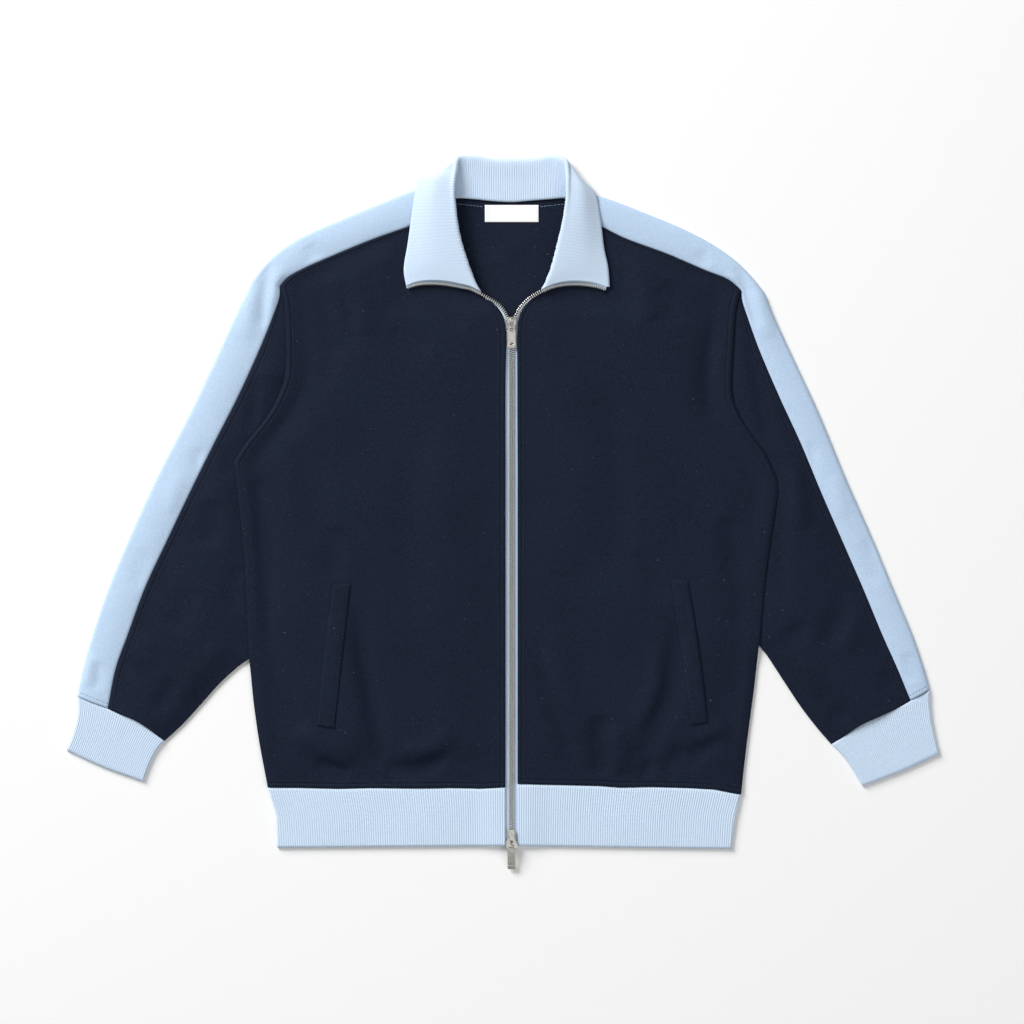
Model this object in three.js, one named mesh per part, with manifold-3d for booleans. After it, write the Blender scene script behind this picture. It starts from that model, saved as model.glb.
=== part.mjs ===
// Track jacket with a full zip, laid flat on its back with the collar turned down.
// Millimetres, +Z up. The origin is on the underside of the back panel, under the zip at mid length.
// +Y points to the collar and +X to the wearer's left. Pieces are named by the wearer's side.
import * as THREE from 'three';
import Module from 'manifold-3d';

const wasm = await Module();
wasm.setup();

// Cloth and seams
const KNIT = 1.2;          // smooth knit wall
const RIBBED = 1.8;        // rib knit wall under its ribs
const RIB_HEIGHT = 0.45;
const RIB_PITCH = 2.45;
const SEAM = 0.35;         // gap between pieces sewn edge to edge
const LIE = 0.35;          // gap between layers that lie on each other
const TUCK = 4;            // how far the sleeve runs in under the body's edge
const TUCK_START = 0.3;    // the same at the shoulder, where it begins
const TUCK_EASE = 0.1;     // share by which its first corner leans to the stripe seam
const CUFF_SETBACK = 0.8;  // from the measured cuff seam to the cuff's edge

// Heights above the table
const SHELL_TOP = 3.2;     // top face of a sleeve or stripe over its own back
const FRONT_TOP = 3.8;     // top face of a front over the back panel
const ZIP_LIFT = 1.6;      // how much the zip raises the fronts beside it
const ZIP_REACH = 42;      // width of that rise
const ZIP_CREST = 13;      // width over which it stays full
const UNDERARM_TOP = 2.75; // top face where a front and a back meet in a fold
const BAND_TOP = 4.0;      // top face of the hem band and cuffs under the ribs
const LABEL = 0.4;

// Zip
const CHAIN_Z = 4.4;
const CHAIN_HALF_WIDTH = 1.1;
const CHAIN_HALF_HEIGHT = 1.2;
const CHAIN_STEPS = 56;
const TAPE_BOTTOM = 3.1;
const TAPE_THICKNESS = 0.45;
const TAPE_WIDTH = 9;
const TAPE_END = 186;      // foot of the V, above which the front's edge hides no tape
const TAPE_STEPS = 12;
const COLLAR_TAPE = 2.5;    // width of tape that shows along the turned collar
const COLLAR_TAPE_START = 44;
const SLIDER_PLATE = 1.15;
const BRIDGE_RISE = 1.5;   // hinge axis over the slider's plate
const PULL_THICKNESS = 1.2;

// Rows of grid along each seam
const ROWS = { side: 7, flank: 9, armhole: 10, shoulder: 7, underarm: 8 };

const table = (columns, rows) => {
  const names = columns.split(' ');
  return rows.map((row) => Object.fromEntries(names.map((name, i) => [name, row[i]])));
};

// Outlines of the cut pieces, each listed in the direction its comment gives
const OUTLINES = {
  right: {
    sign: -1,
    // side seam, hem to the point where the sleeve leaves the body
    side: table('x y', [[-256, -301.2], [-265, -254], [-271, -212], [-275.5, -165]]),
    // side seam, on up to the armpit
    flank: table('x y', [[-275.5, -165], [-277, -130], [-280.5, -63], [-286, -4], [-291.5, 40]]),
    // armhole, armpit to shoulder
    armhole: table('x y', [[-291.5, 40], [-279, 59.5], [-263, 79], [-250.5, 97.5], [-241, 118.5],
      [-237, 136.5], [-237, 176.5], [-239, 209], [-243, 224.5]]),
    // seam of body and stripe, shoulder to neck
    shoulder: table('x y', [[-243, 224.5], [-235.5, 233], [-221, 241.5], [-183, 258.5],
      [-142.5, 275], [-107, 287.5], [-78, 298]]),
    // front edge beside the zip, level with the armpit to the top of the V
    lapel: table('x y', [[-6.3, 34], [-6.3, 126], [-5.6, 173], [-7.4, 188], [-11.8, 197],
      [-18.5, 206], [-26.5, 212], [-34, 217]]),
    // neckline of the front, top of the V to the shoulder
    neck: table('x y', [[-34, 217], [-52, 229], [-66, 247], [-73, 270], [-74, 286], [-72, 298]]),
    // outer fold of the stripe, neck to shoulder and shoulder to cuff
    foldUpper: table('x y', [[-90, 331], [-101, 326.5], [-145.5, 308.5], [-185.5, 292], [-223, 275],
      [-247.5, 258.5], [-264, 241.5], [-272, 231]]),
    foldLower: table('x y', [[-272, 231], [-290.5, 193], [-313.5, 143], [-337.5, 92.5], [-372, 25],
      [-402.5, -42], [-423.5, -92.5], [-440.5, -143], [-450, -176.5], [-456, -206.5]]),
    // seam of stripe and sleeve, shoulder to cuff
    sleeveSeam: table('x y', [[-243, 224.5], [-243.5, 214], [-250.5, 193], [-264, 159.5], [-287, 109],
      [-312.5, 59], [-337.5, 8.5], [-361.5, -42], [-385, -92.5], [-403.5, -143], [-415.5, -176.5],
      [-424, -219]]),
    // underarm fold of the sleeve, body to cuff
    underarm: table('x y', [[-275.5, -165], [-304, -190], [-329, -217.5], [-346, -236],
      [-364.5, -253]]),
    cuffSeam: table('x y', [[-456, -206.5], [-440, -212.5], [-424, -219], [-410, -225], [-397, -230],
      [-384, -238], [-364.5, -253]]),
    cuffMiddle: table('x y', [[-457, -232], [-376, -268]]),
    wrist: table('x y', [[-468, -263], [-430, -280.5], [-387, -296]]),
    welt: table('x y', [[-187, -88], [-169, -88], [-204, -236.5], [-186, -240]]),
    hemEnd: -6.6,
  },
  left: {
    sign: 1,
    side: table('x y', [[241, -308.6], [246.5, -260.5], [255, -195.5], [260, -150]]),
    flank: table('x y', [[260, -150], [265, -94.5], [271.5, -42], [277.5, -5], [279.5, 10],
      [278, 24]]),
    armhole: table('x y', [[278, 24], [266, 49.5], [253.5, 66], [243, 82], [234.5, 100],
      [231.5, 115.5], [233.5, 168], [236, 203], [241, 220.5]]),
    shoulder: table('x y', [[241, 220.5], [228.5, 231], [203, 241.5], [163.5, 258.5], [119, 275],
      [97, 286], [76, 297]]),
    lapel: table('x y', [[6.3, 34], [6, 126], [6.2, 173], [7.2, 189], [11, 199.5], [14.5, 204.5],
      [20, 210], [28, 216], [34.5, 219]]),
    neck: table('x y', [[34.5, 219], [52, 229], [66, 247], [72, 270], [73, 286], [71, 297]]),
    foldUpper: table('x y', [[86, 331], [102.5, 317], [142.5, 300.5], [183, 283.5], [214.5, 266.5],
      [237, 250], [253.5, 233], [260, 225]]),
    foldLower: table('x y', [[260, 225], [266, 216.5], [275.5, 193], [298.5, 143], [322, 92.5],
      [350, 25], [379.5, -42], [400.5, -92.5], [421.5, -143], [433, -176.5], [439.5, -199]]),
    sleeveSeam: table('x y', [[241, 220.5], [242, 210], [247.5, 193], [259.5, 159.5], [281, 109],
      [304, 59], [325, 8.5], [347, -42], [369, -92.5], [390, -143], [405, -176.5], [419, -210.5]]),
    underarm: table('x y', [[260, -150], [278.5, -178.5], [291.5, -198.5], [305, -218.5],
      [322, -240.5], [336, -256.5]]),
    cuffSeam: table('x y', [[439.5, -199], [429, -205], [419, -210.5], [402, -219.5], [387, -226.5],
      [367, -235.5], [348.5, -248], [336, -256.5]]),
    cuffMiddle: table('x y', [[441, -228], [352, -274]]),
    wrist: table('x y', [[449.5, -267], [412, -284.5], [368.5, -301]]),
    welt: table('x y', [[185, -84.5], [167, -83.5], [206, -234], [189, -236]]),
    hemEnd: 6.4,
  },
};

// Largest folds: a trough (lift below 0) or ridge along a line, soft over the given reach
const FOLDS = {
  right: table('x0 y0 x1 y1 reach lift', [
    [-163, -111, -140, -240, 13, -1.3],
    [-127, -285, -68, -269, 11, -1.3],
    [-188, -34, -188, -78, 12, -0.9],
    [-222, -243, -167, -272, 13, 1.8],
    [-258, 20, -258, -150, 14, -1.2],
    [-200, 240, -186, 125, 16, -0.7],
    [-157, 213, -150, 195, 18, 1],
    [-108, 164, -106, 158, 14, -1.2],
  ]),
  left: table('x0 y0 x1 y1 reach lift', [
    [24, -142, 34, -194, 13, -1.3],
    [34, -194, 61, -256, 13, -1.3],
    [94, -234, 96, -286, 12, -1.5],
    [173, -133, 170, -194, 12, -1.4],
    [170, -194, 136, -272, 12, -1.4],
    [216, -250, 160, -288, 11, -1.1],
    [225, -25, 235, -81, 13, -1],
    [104, 220, 133, 195, 12, -0.9],
    [160, 220, 173, 189, 12, -0.9],
  ]),
  sleeve_right: table('x0 y0 x1 y1 reach lift', [
    [-262, 140, -240, 124, 9, 1],
    [-290, -15, -300, -60, 14, -1],
    [-318, -150, -345, -175, 16, 1.1],
    [-352, -190, -372, -222, 12, -0.9],
  ]),
  sleeve_left: table('x0 y0 x1 y1 reach lift', [
    [262, 140, 268, 60, 9, -0.8],
    [351, -92, 332, -151, 14, -1.1],
    [308, -133, 290, -151, 12, -0.9],
    [368, -180, 388, -214, 12, -0.9],
  ]),
};

// Height of a front's rim, by row from the hem: at its edge, just inside, and on the crest behind
const RIM = table('row edge inside crest', [
  [0, 3.6, 4.3, 4.4],
  [1, 2.75, 3.9, 4.5],
  [6, 2.75, 4, 4.8],
  [7, 5.2, 5.6, 5.6],
  [16, 5.3, 6.3, 6.2],
  [21, 5.3, 6.4, 6.2],
  [25, 5.3, 6, 5.6],
  [28, 3.6, 3.9, 4],
  [33, 3.4, 3.5, 3.6],
]);
const RIM_INSIDE = 3.5;    // distances of those columns from the edge
const RIM_CREST = 9;
const RIM_SHARE = 0.12;    // the most of a short row that the rim takes up
const LOWEST_FRONT = 2.7;
const HEM_LIFT = 0.4;      // the hem seam holds the front up a little
const BELLY = 1.5;         // rise of a sleeve's middle over its seams
const FULL_BELLY = 60;     // width from which a sleeve has it all
const STRIPE_BELLY = 0.7;
const STRIPE_CROWN = 0.4;  // where the stripe is highest, from its fold to its seam
const STRIPE_TURN = 0.6;   // how far its lining's lower corner is set in from the fold
const FRONT_HEM = { right: -300.8, left: -297.4 };
const FRONT_COLUMNS = [0, 0.08, 0.19, 0.31, 0.43, 0.55, 0.67, 0.79, 0.9];
const SLEEVE_COLUMNS = [0, 0.2, 0.4, 0.6, 0.8, 1];

// Collar sections from the middle of the back to the front edge, for one side.
// n is the neck seam, r the roll and e the free edge. turn is how far the fall has swung, from
// under the stand at the back (0) to over the front (180). bulge lifts the fall's middle.
const COLLAR = {
  right: table('nx ny nz rx ry rz turn ex ey ez bulge', [
    [0, 313, 2.7, 0, 357.5, 2.6, 0, 0, 322, 1.25, 0],
    [-20, 314, 2.7, -21, 358, 2.7, 4, -23, 322.5, 1.25, 0],
    [-40, 316, 2.8, -41, 360.8, 3.6, 14, -46, 326, 1.3, 0],
    [-55, 317, 3, -55, 360, 7, 40, -68, 338, 2.2, 1],
    [-66, 316, 3.4, -59.5, 347, 12.5, 70, -86, 339, 3.6, 3],
    [-73, 305, 4.6, -61, 326, 16, 100, -100, 326, 5.6, 3.5],
    [-75, 284, 5.4, -58.5, 300, 15.5, 130, -104.5, 300, 6.6, 3],
    [-72, 262, 5.6, -53.5, 273, 14, 145, -109, 268, 6.8, 2.2],
    [-60, 244, 5.8, -44, 247, 12, 150, -113, 243, 6.8, 1.4],
    [-48, 234, 6.1, -34, 231, 10, 150, -112, 230, 6.8, 0.8],
  ]),
  left: table('nx ny nz rx ry rz turn ex ey ez bulge', [
    [0, 313, 2.7, 0, 357.5, 2.6, 0, 0, 322, 1.25, 0],
    [20, 314.5, 2.7, 21, 358, 2.7, 4, 23, 322.5, 1.25, 0],
    [40, 316, 2.8, 41, 360.8, 3.6, 14, 46, 326, 1.3, 0],
    [54, 317, 3, 54, 359, 7, 40, 66, 336, 2.2, 1],
    [64, 316, 3.4, 59.5, 345, 12.5, 70, 79, 331, 3.6, 3],
    [71, 304, 4.6, 59, 324, 16, 100, 88, 321, 5.6, 3.5],
    [74, 284, 5.4, 55.5, 298, 15.5, 130, 93, 297, 6.6, 3],
    [71, 262, 5.6, 49.5, 272, 14, 145, 97, 265, 6.8, 2.2],
    [60, 244, 5.8, 42, 246, 12, 150, 102, 240, 6.8, 1.4],
    [48, 234, 6.1, 33, 230, 10, 150, 104, 227, 6.8, 0.8],
  ]),
};
const ROLL_SPREAD = 1.5;   // half the distance between stand and fall at the roll
const COLLAR_LENGTH = 370; // round the roll, from front edge to front edge
const COLLAR_LINING_STEPS = 44;
const NEAR = 0.002;        // share of the collar's length over which its direction is measured
const CORNER = 3.5;        // stations from the middle of the back over which the roll turns sideways
const SHOWN = { from: 3, over: 1.5 }; // stations from which the fall lies on top and has ribs

// Middle of each row of teeth, from the hem up, round the V and along the turned collar
const CHAINS = {
  right: table('x y z', [[-1.35, -357, 4.4], [-1.35, -150, 4.4], [-1.35, 50, 4.4], [-1.35, 165, 4.4],
    [-1.5, 178, 4.4], [-2.4, 184, 4.4], [-4.2, 191, 4.5], [-8.3, 199, 4.8], [-13, 204.5, 5.2],
    [-20.5, 209.5, 5.8], [-27.5, 213.5, 6.4], [-34.5, 217.5, 6.9], [-43, 221.5, 7.1], [-54, 223.8, 7.1],
    [-66, 226, 7.1], [-80.5, 227.3, 7], [-94, 227, 6.9], [-102, 225.6, 6.8], [-110, 223, 6.8]]),
  left: table('x y z', [[1.35, -357, 4.4], [1.35, -150, 4.4], [1.35, 50, 4.4], [1.35, 165, 4.4],
    [1.5, 178, 4.4], [2.4, 184, 4.4], [4.2, 191, 4.5], [8.3, 199.5, 4.8], [12.5, 205, 5.2],
    [19, 211, 5.8], [25.5, 215.3, 6.4], [33.5, 219.6, 6.9], [42, 223.2, 7.1], [52.5, 225.6, 7.1],
    [64.5, 226.6, 7.1], [77, 226, 7], [89.5, 224, 6.9], [99, 221, 6.8]]),
};

const SLIDERS = {
  upper: { y: 185, half: 7.2, wide: 5.5, narrow: 3.75, mouth: 1, plate: 6, foot: 1.6, footTop: 2.8,
    hinge: 181, reach: 21.6, tilt: 5, width: 9, hole: 17.2 },
  lower: { y: -356, half: 10.3, wide: 6.3, narrow: 3.75, mouth: -1, plate: 6.5, foot: 2.2,
    footTop: 2.8, hinge: -363, reach: 25.4, tilt: 14, width: 8.3, hole: 0 },
};

const WELT_ROWS = 12;
const LABEL_CORNERS = { left: -28, right: 28.5, top: 310, foot: 292 };
const BACK_NECK_STEPS = 8;
const BACK_NECK = table('x y', [[-62, 318.5], [-33, 315.8], [0, 314.6], [30, 315.6], [62, 318.5]]);

const SLIDER_WAIST = 0.45;  // where a slider's plate is widest, from its middle to its mouth
const SLIDER_LIP = 0.72;    // width of the mouth as a share of the widest
const FOOT_TRIM = 0.4;
const SINK = 0.5;           // how far the post and the bridge run into the plates
const POST = { half: 1, set: 0.2, length: 2.5 };
const BRIDGE = { inner: 1, outer: 2, width: 3 };
const PULL = { neck: 0.8, bar: 0.65, shoulder: -4, corner: 1.5, slot: 1.9, slotEnd: -3.6, hole: 1.1 };

const COLOURS = {
  navy: { color: 0x1f2536, roughness: 0.85 },
  sky: { color: 0xc4dcf2, roughness: 0.9 },
  rib: { color: 0xcfe2f4, roughness: 0.92 },
  tape: { color: 0xb9d0e6, roughness: 0.85 },
  metal: { color: 0xb8bcc2, roughness: 0.35, metalness: 1 },
  label: { color: 0xf2f3f5, roughness: 0.8 },
};

const jacket = new THREE.Group();

function addMesh(name, geometry, finish) {
  const mesh = new THREE.Mesh(geometry, new THREE.MeshStandardMaterial(COLOURS[finish]));
  mesh.name = name;
  jacket.add(mesh);
}

const lerp = THREE.MathUtils.lerp;
const clamp = THREE.MathUtils.clamp;
const at = (x, y, z) => new THREE.Vector3(x, y, z);

// Points spaced evenly along a smooth curve through a table's rows
function along(rows, steps) {
  const points = rows.map(({ x, y, z = 0 }) => at(x, y, z));
  return new THREE.CatmullRomCurve3(points, false, 'centripetal').getSpacedPoints(steps);
}

const join = (...legs) => legs.flatMap((leg, i) => (i ? leg.slice(1) : leg));
const reversed = (points) => [...points].reverse();

// Moves a plan curve sideways, away from the zip for a curve that runs from hem to neck
function outward(points, amount, sign) {
  return points.map((point, i) => {
    const before = points[Math.max(i - 1, 0)];
    const after = points[Math.min(i + 1, points.length - 1)];
    const away = at(after.y - before.y, before.x - after.x, 0).normalize();
    const move = Array.isArray(amount) ? amount[i] : amount;
    return point.clone().addScaledVector(away, move * sign);
  });
}

// Value of a column at a row number, straight between the rows of a table
function columnAt(rows, key, column, value) {
  const next = clamp(rows.findIndex((row) => row[key] >= value), 1, rows.length - 1);
  const [low, high] = [rows[next - 1], rows[next]];
  const t = clamp((value - low[key]) / (high[key] - low[key]), 0, 1);
  return lerp(low[column], high[column], t);
}

function foldLift(folds, x, y) {
  let lift = 0;
  for (const fold of folds) {
    const run = at(fold.x1 - fold.x0, fold.y1 - fold.y0, 0);
    const t = clamp(((x - fold.x0) * run.x + (y - fold.y0) * run.y) / run.lengthSq(), 0, 1);
    const distance = Math.hypot(x - fold.x0 - run.x * t, y - fold.y0 - run.y * t);
    lift += fold.lift * Math.exp(-((distance / fold.reach) ** 2));
  }
  return lift;
}

const zipLift = (x) => ZIP_LIFT * (1 - THREE.MathUtils.smoothstep(Math.abs(x), ZIP_CREST, ZIP_REACH));

// Turns index triples into a geometry with its faces pointing out
function solid(vertices, faces) {
  let volume = 0;
  const corner = at(0, 0, 0);
  for (const [a, b, c] of faces) {
    volume += corner.crossVectors(vertices[b], vertices[c]).dot(vertices[a]);
  }
  const turned = volume < 0 ? faces.map(([a, b, c]) => [a, c, b]) : faces;
  const geometry = new THREE.BufferGeometry().setFromPoints(vertices);
  geometry.setIndex(turned.flat());
  return geometry;
}

// Joins two edges that run side by side, whatever number of points each has, over the shorter ways
function stitch(faces, vertices, outer, inner) {
  const gap = (i, j) => (i < outer.length && j < inner.length
    ? vertices[outer[i]].distanceTo(vertices[inner[j]]) : Infinity);
  let i = 0;
  let j = 0;
  while (i < outer.length - 1 || j < inner.length - 1) {
    if (gap(i + 1, j) <= gap(i, j + 1)) {
      faces.push([outer[i + 1], outer[i], inner[j]]);
      i += 1;
    } else {
      faces.push([outer[i], inner[j], inner[j + 1]]);
      j += 1;
    }
  }
}

// Covers a grid of point numbers with two triangles to a cell
function skin(faces, ids, flip) {
  for (let i = 0; i < ids.length - 1; i += 1) {
    for (let j = 0; j < ids[i].length - 1; j += 1) {
      const [a, b, c, d] = [ids[i][j], ids[i + 1][j], ids[i + 1][j + 1], ids[i][j + 1]];
      faces.push(flip ? [a, c, b] : [a, b, c], flip ? [a, d, c] : [a, c, d]);
    }
  }
}

// A wall from a grid of outer points and a grid of inner points, each grid a list of rows
function wall(outer, inner) {
  const vertices = [];
  const faces = [];
  const number = (grid) => grid.map((row) => row.map((point) => vertices.push(point) - 1));
  const edges = (ids) => [
    ids.map((row) => row[0]),
    ids[ids.length - 1],
    reversed(ids.map((row) => row[row.length - 1])),
    reversed(ids[0]),
  ];
  const outerIds = number(outer);
  const innerIds = number(inner);
  skin(faces, outerIds, false);
  skin(faces, innerIds, true);
  const innerEdges = edges(innerIds);
  edges(outerIds).forEach((edge, i) => stitch(faces, vertices, edge, innerEdges[i]));
  return solid(vertices, faces);
}

// A tube wall from closed rings of outer and inner points, open at both ends
function tube(outer, inner) {
  const vertices = [];
  const faces = [];
  const number = (rings) => rings.map((ring) => {
    const ids = ring.map((point) => vertices.push(point) - 1);
    return [...ids, ids[0]];
  });
  const outerIds = number(outer);
  const innerIds = number(inner);
  skin(faces, outerIds, false);
  skin(faces, innerIds, true);
  const last = outerIds.length - 1;
  stitch(faces, vertices, outerIds[last], innerIds[innerIds.length - 1]);
  stitch(faces, vertices, reversed(outerIds[0]), reversed(innerIds[0]));
  return solid(vertices, faces);
}

// A wall whose top face is the grid given and whose underside is the same grid lower down
const sheet = (top, thickness) => wall(top, top.map((row) => row.map((p) => at(p.x, p.y, p.z - thickness))));

// Seam curves that neighbouring pieces share, sampled once so that the pieces match
function seamsOf(side) {
  const outline = OUTLINES[side];
  const sleeveRows = ROWS.armhole + ROWS.flank + ROWS.underarm;
  const zipStart = at(outline.lapel[0].x, FRONT_HEM[side], 0);
  return {
    ...outline,
    body: join(along(outline.side, ROWS.side), along(outline.flank, ROWS.flank),
      along(outline.armhole, ROWS.armhole), along(outline.shoulder, ROWS.shoulder)),
    opening: join(along([zipStart, outline.lapel[0]], ROWS.side + ROWS.flank),
      along(outline.lapel, ROWS.armhole), along(outline.neck, ROWS.shoulder)),
    stripeSeam: join(reversed(along(outline.shoulder, ROWS.shoulder)),
      along(outline.sleeveSeam, sleeveRows)),
    stripeFold: join(along(outline.foldUpper, ROWS.shoulder), along(outline.foldLower, sleeveRows)),
    sleeveSeamPoints: along(outline.sleeveSeam, sleeveRows),
    sleeveBody: join(reversed(along(outline.armhole, ROWS.armhole)),
      reversed(along(outline.flank, ROWS.flank)), along(outline.underarm, ROWS.underarm)),
  };
}

// Front: one knit panel from the zip to the side, armhole and shoulder seams
function frontGrid(seams, folds) {
  return seams.opening.map((inner, row) => {
    const outer = seams.body[row];
    const width = inner.distanceTo(outer);
    const crest = Math.min(RIM_CREST / width, RIM_SHARE);
    const inside = crest * RIM_INSIDE / RIM_CREST;
    const columns = [...FRONT_COLUMNS.map((v) => v * (1 - crest)), 1 - crest, 1 - inside, 1];
    return columns.map((v, j) => {
      const point = inner.clone().lerp(outer, v);
      const fromEdge = columns.length - 1 - j;
      const rim = ['edge', 'inside', 'crest'][fromEdge];
      const hem = 1 - clamp(row / 2, 0, 1);
      const free = FRONT_TOP + hem * HEM_LIFT
        + foldLift(folds, point.x, point.y) * (1 - zipLift(point.x) / ZIP_LIFT);
      const height = rim ? columnAt(RIM, 'row', rim, row) : free + zipLift(point.x);
      return at(point.x, point.y, Math.max(height, LOWEST_FRONT));
    });
  });
}

// Height of a grid's faces at a plan position
function heightOn(grid, x, y) {
  const spot = at(x, y, 0);
  const weights = at(0, 0, 0);
  for (let i = 0; i < grid.length - 1; i += 1) {
    for (let j = 0; j < grid[i].length - 1; j += 1) {
      const [a, b, c, d] = [grid[i][j], grid[i + 1][j], grid[i + 1][j + 1], grid[i][j + 1]];
      for (const corners of [[a, b, c], [a, c, d]]) {
        const plan = corners.map((p) => at(p.x, p.y, 0));
        if (!THREE.Triangle.getBarycoord(spot, ...plan, weights)) continue;
        if (Math.min(weights.x, weights.y, weights.z) < -1e-6) continue;
        return corners[0].z * weights.x + corners[1].z * weights.y + corners[2].z * weights.z;
      }
    }
  }
  return FRONT_TOP;
}

// Sleeve panel: rows from the stripe seam across to the body and underarm, curved at the cuff
function sleeveGrid(seams, edge, heightAt) {
  const seam = outward(seams.sleeveSeamPoints, SEAM, seams.sign);
  const last = seam.length - 1;
  const end = along(seams.cuffSeam.slice(2), SLEEVE_COLUMNS.length - 1);
  return seam.map((start, row) => SLEEVE_COLUMNS.map((v, j) => {
    const point = start.clone().lerp(edge[row], v);
    const straight = seam[last].clone().lerp(edge[last], v);
    const near = clamp((row - last + 3) / 3, 0, 1);
    point.addScaledVector(end[j].clone().sub(straight), near * (v > 0 && v < 1 ? 1 : 0));
    point.y += near * SEAM;
    return at(point.x, point.y, heightAt(point, row, v, start.distanceTo(edge[row])));
  }));
}

// Sleeve face: it runs in a little under the body's edge at the armhole and the side
function sleeveFront(side, seams) {
  const tucked = ROWS.armhole + ROWS.flank;
  const tuck = seams.sleeveBody.map((_, i) => {
    if (i < 2) return TUCK_START + i * TUCK / 3;
    return i < tucked - 1 ? TUCK : Math.max(0, (tucked + 1 - i) * TUCK / 2);
  });
  const edge = outward(seams.sleeveBody, tuck, seams.sign);
  edge[0].lerp(seams.sleeveSeamPoints[1], TUCK_EASE);
  return sleeveGrid(seams, edge, (point, row, v, width) => {
    const folds = foldLift(FOLDS[`sleeve_${side}`], point.x, point.y);
    const belly = Math.min(width / FULL_BELLY, 1) * Math.sin(Math.PI * v);
    const rim = v === 1 && row > tucked ? UNDERARM_TOP : SHELL_TOP;
    return rim + belly * Math.max(BELLY + folds, 0);
  });
}

// Stripe: one strip of knit that wraps the outer fold, its two legs lying on each other
function stripeWall(seams) {
  const seam = outward(seams.stripeSeam, -SEAM, seams.sign);
  const outer = [];
  const inner = [];
  seams.stripeFold.forEach((fold, row) => {
    const start = seam[row];
    const reach = start.distanceTo(fold);
    const put = (inset, z) => {
      const point = start.clone().lerp(fold, 1 - inset / reach);
      return at(point.x, point.y, z);
    };
    const bend = SHELL_TOP / 2;
    const round = bend * (1 - Math.SQRT1_2);
    const crown = SHELL_TOP + STRIPE_BELLY;
    outer.push([put(reach, SHELL_TOP), put(reach * STRIPE_CROWN, crown),
      put(round, SHELL_TOP - round), put(0, bend), put(bend, 0), put(reach, 0)]);
    inner.push([put(reach, SHELL_TOP - KNIT), put(reach * STRIPE_CROWN, crown - KNIT),
      put(KNIT, bend), put(bend + STRIPE_TURN, KNIT), put(reach, KNIT)]);
  });
  return wall(outer, inner);
}

// Side view of a pressed-flat rib tube: how far in from its fold each height is reached
const BAND_FOLD = { shoulder: 0.7, top: 2.2, foot: 1.6, lining: 2.6 };
const BAND_SHOULDER_DROP = 0.6;

// Cuff: a tube of rib knit pressed flat, its ribs along the arm
function cuffWall(seams) {
  const steps = 12;
  const footSteps = 6;
  const liningSteps = 16;
  const rows = ['cuffSeam', 'cuffMiddle', 'wrist'].map((name) => along(seams[name], steps));
  rows[0].forEach((point) => point.add(at(0, -CUFF_SETBACK, 0)));
  const ribs = Math.round(rows[0][0].distanceTo(rows[0][steps]) / RIB_PITCH);
  const rings = rows.map((row) => {
    const width = row[0].distanceTo(row[steps]);
    const put = (v, inset, z) => {
      const k = clamp(lerp(inset / width, 1 - inset / width, v), 0, 1) * steps;
      const low = Math.min(Math.floor(k), steps - 1);
      const point = row[low].clone().lerp(row[low + 1], k - low);
      return at(point.x, point.y, z);
    };
    const span = (count, inset, height) => Array.from({ length: count + 1 },
      (_, k) => put(k / count, inset, height(k)));
    const fold = (v) => [put(v, 0, BAND_TOP / 2), put(v, BAND_FOLD.shoulder,
      BAND_TOP - BAND_SHOULDER_DROP)];
    return {
      outer: [...fold(0), ...span(2 * ribs, BAND_FOLD.top, (k) => BAND_TOP + (k % 2) * RIB_HEIGHT),
        ...reversed(fold(1)), ...reversed(span(footSteps, BAND_FOLD.foot, () => 0))],
      inner: [put(0, RIBBED, BAND_TOP / 2),
        ...span(liningSteps, BAND_FOLD.lining, () => BAND_TOP - RIBBED), put(1, RIBBED, BAND_TOP / 2),
        ...reversed(span(footSteps, BAND_FOLD.lining, () => RIBBED))],
    };
  });
  return tube(rings.map((ring) => ring.outer), rings.map((ring) => ring.inner));
}

// Hem band: where its folded sides and its two edges run
const HEM_SIDES = {
  right: { top: -256, middle: -247, foot: -246.5 },
  left: { top: 241, middle: 235, foot: 231 },
};
const HEM_TOP = table('x y', [[-256, -302], [-6.3, -301.4], [6.3, -298], [241, -309.4]]);
const HEM_FOOT = table('x y', [[-247, -365.5], [-6, -363.5], [7, -363.5], [135, -365.5], [231, -366.5]]);
const HEM_MIDDLE = 0.45;   // how far down the band its middle row lies
const HEM_ZIP_RISE = 1.7;  // rise over the zip tapes
const HEM_SLOPE = 10;      // width over which it falls to its folds

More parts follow.
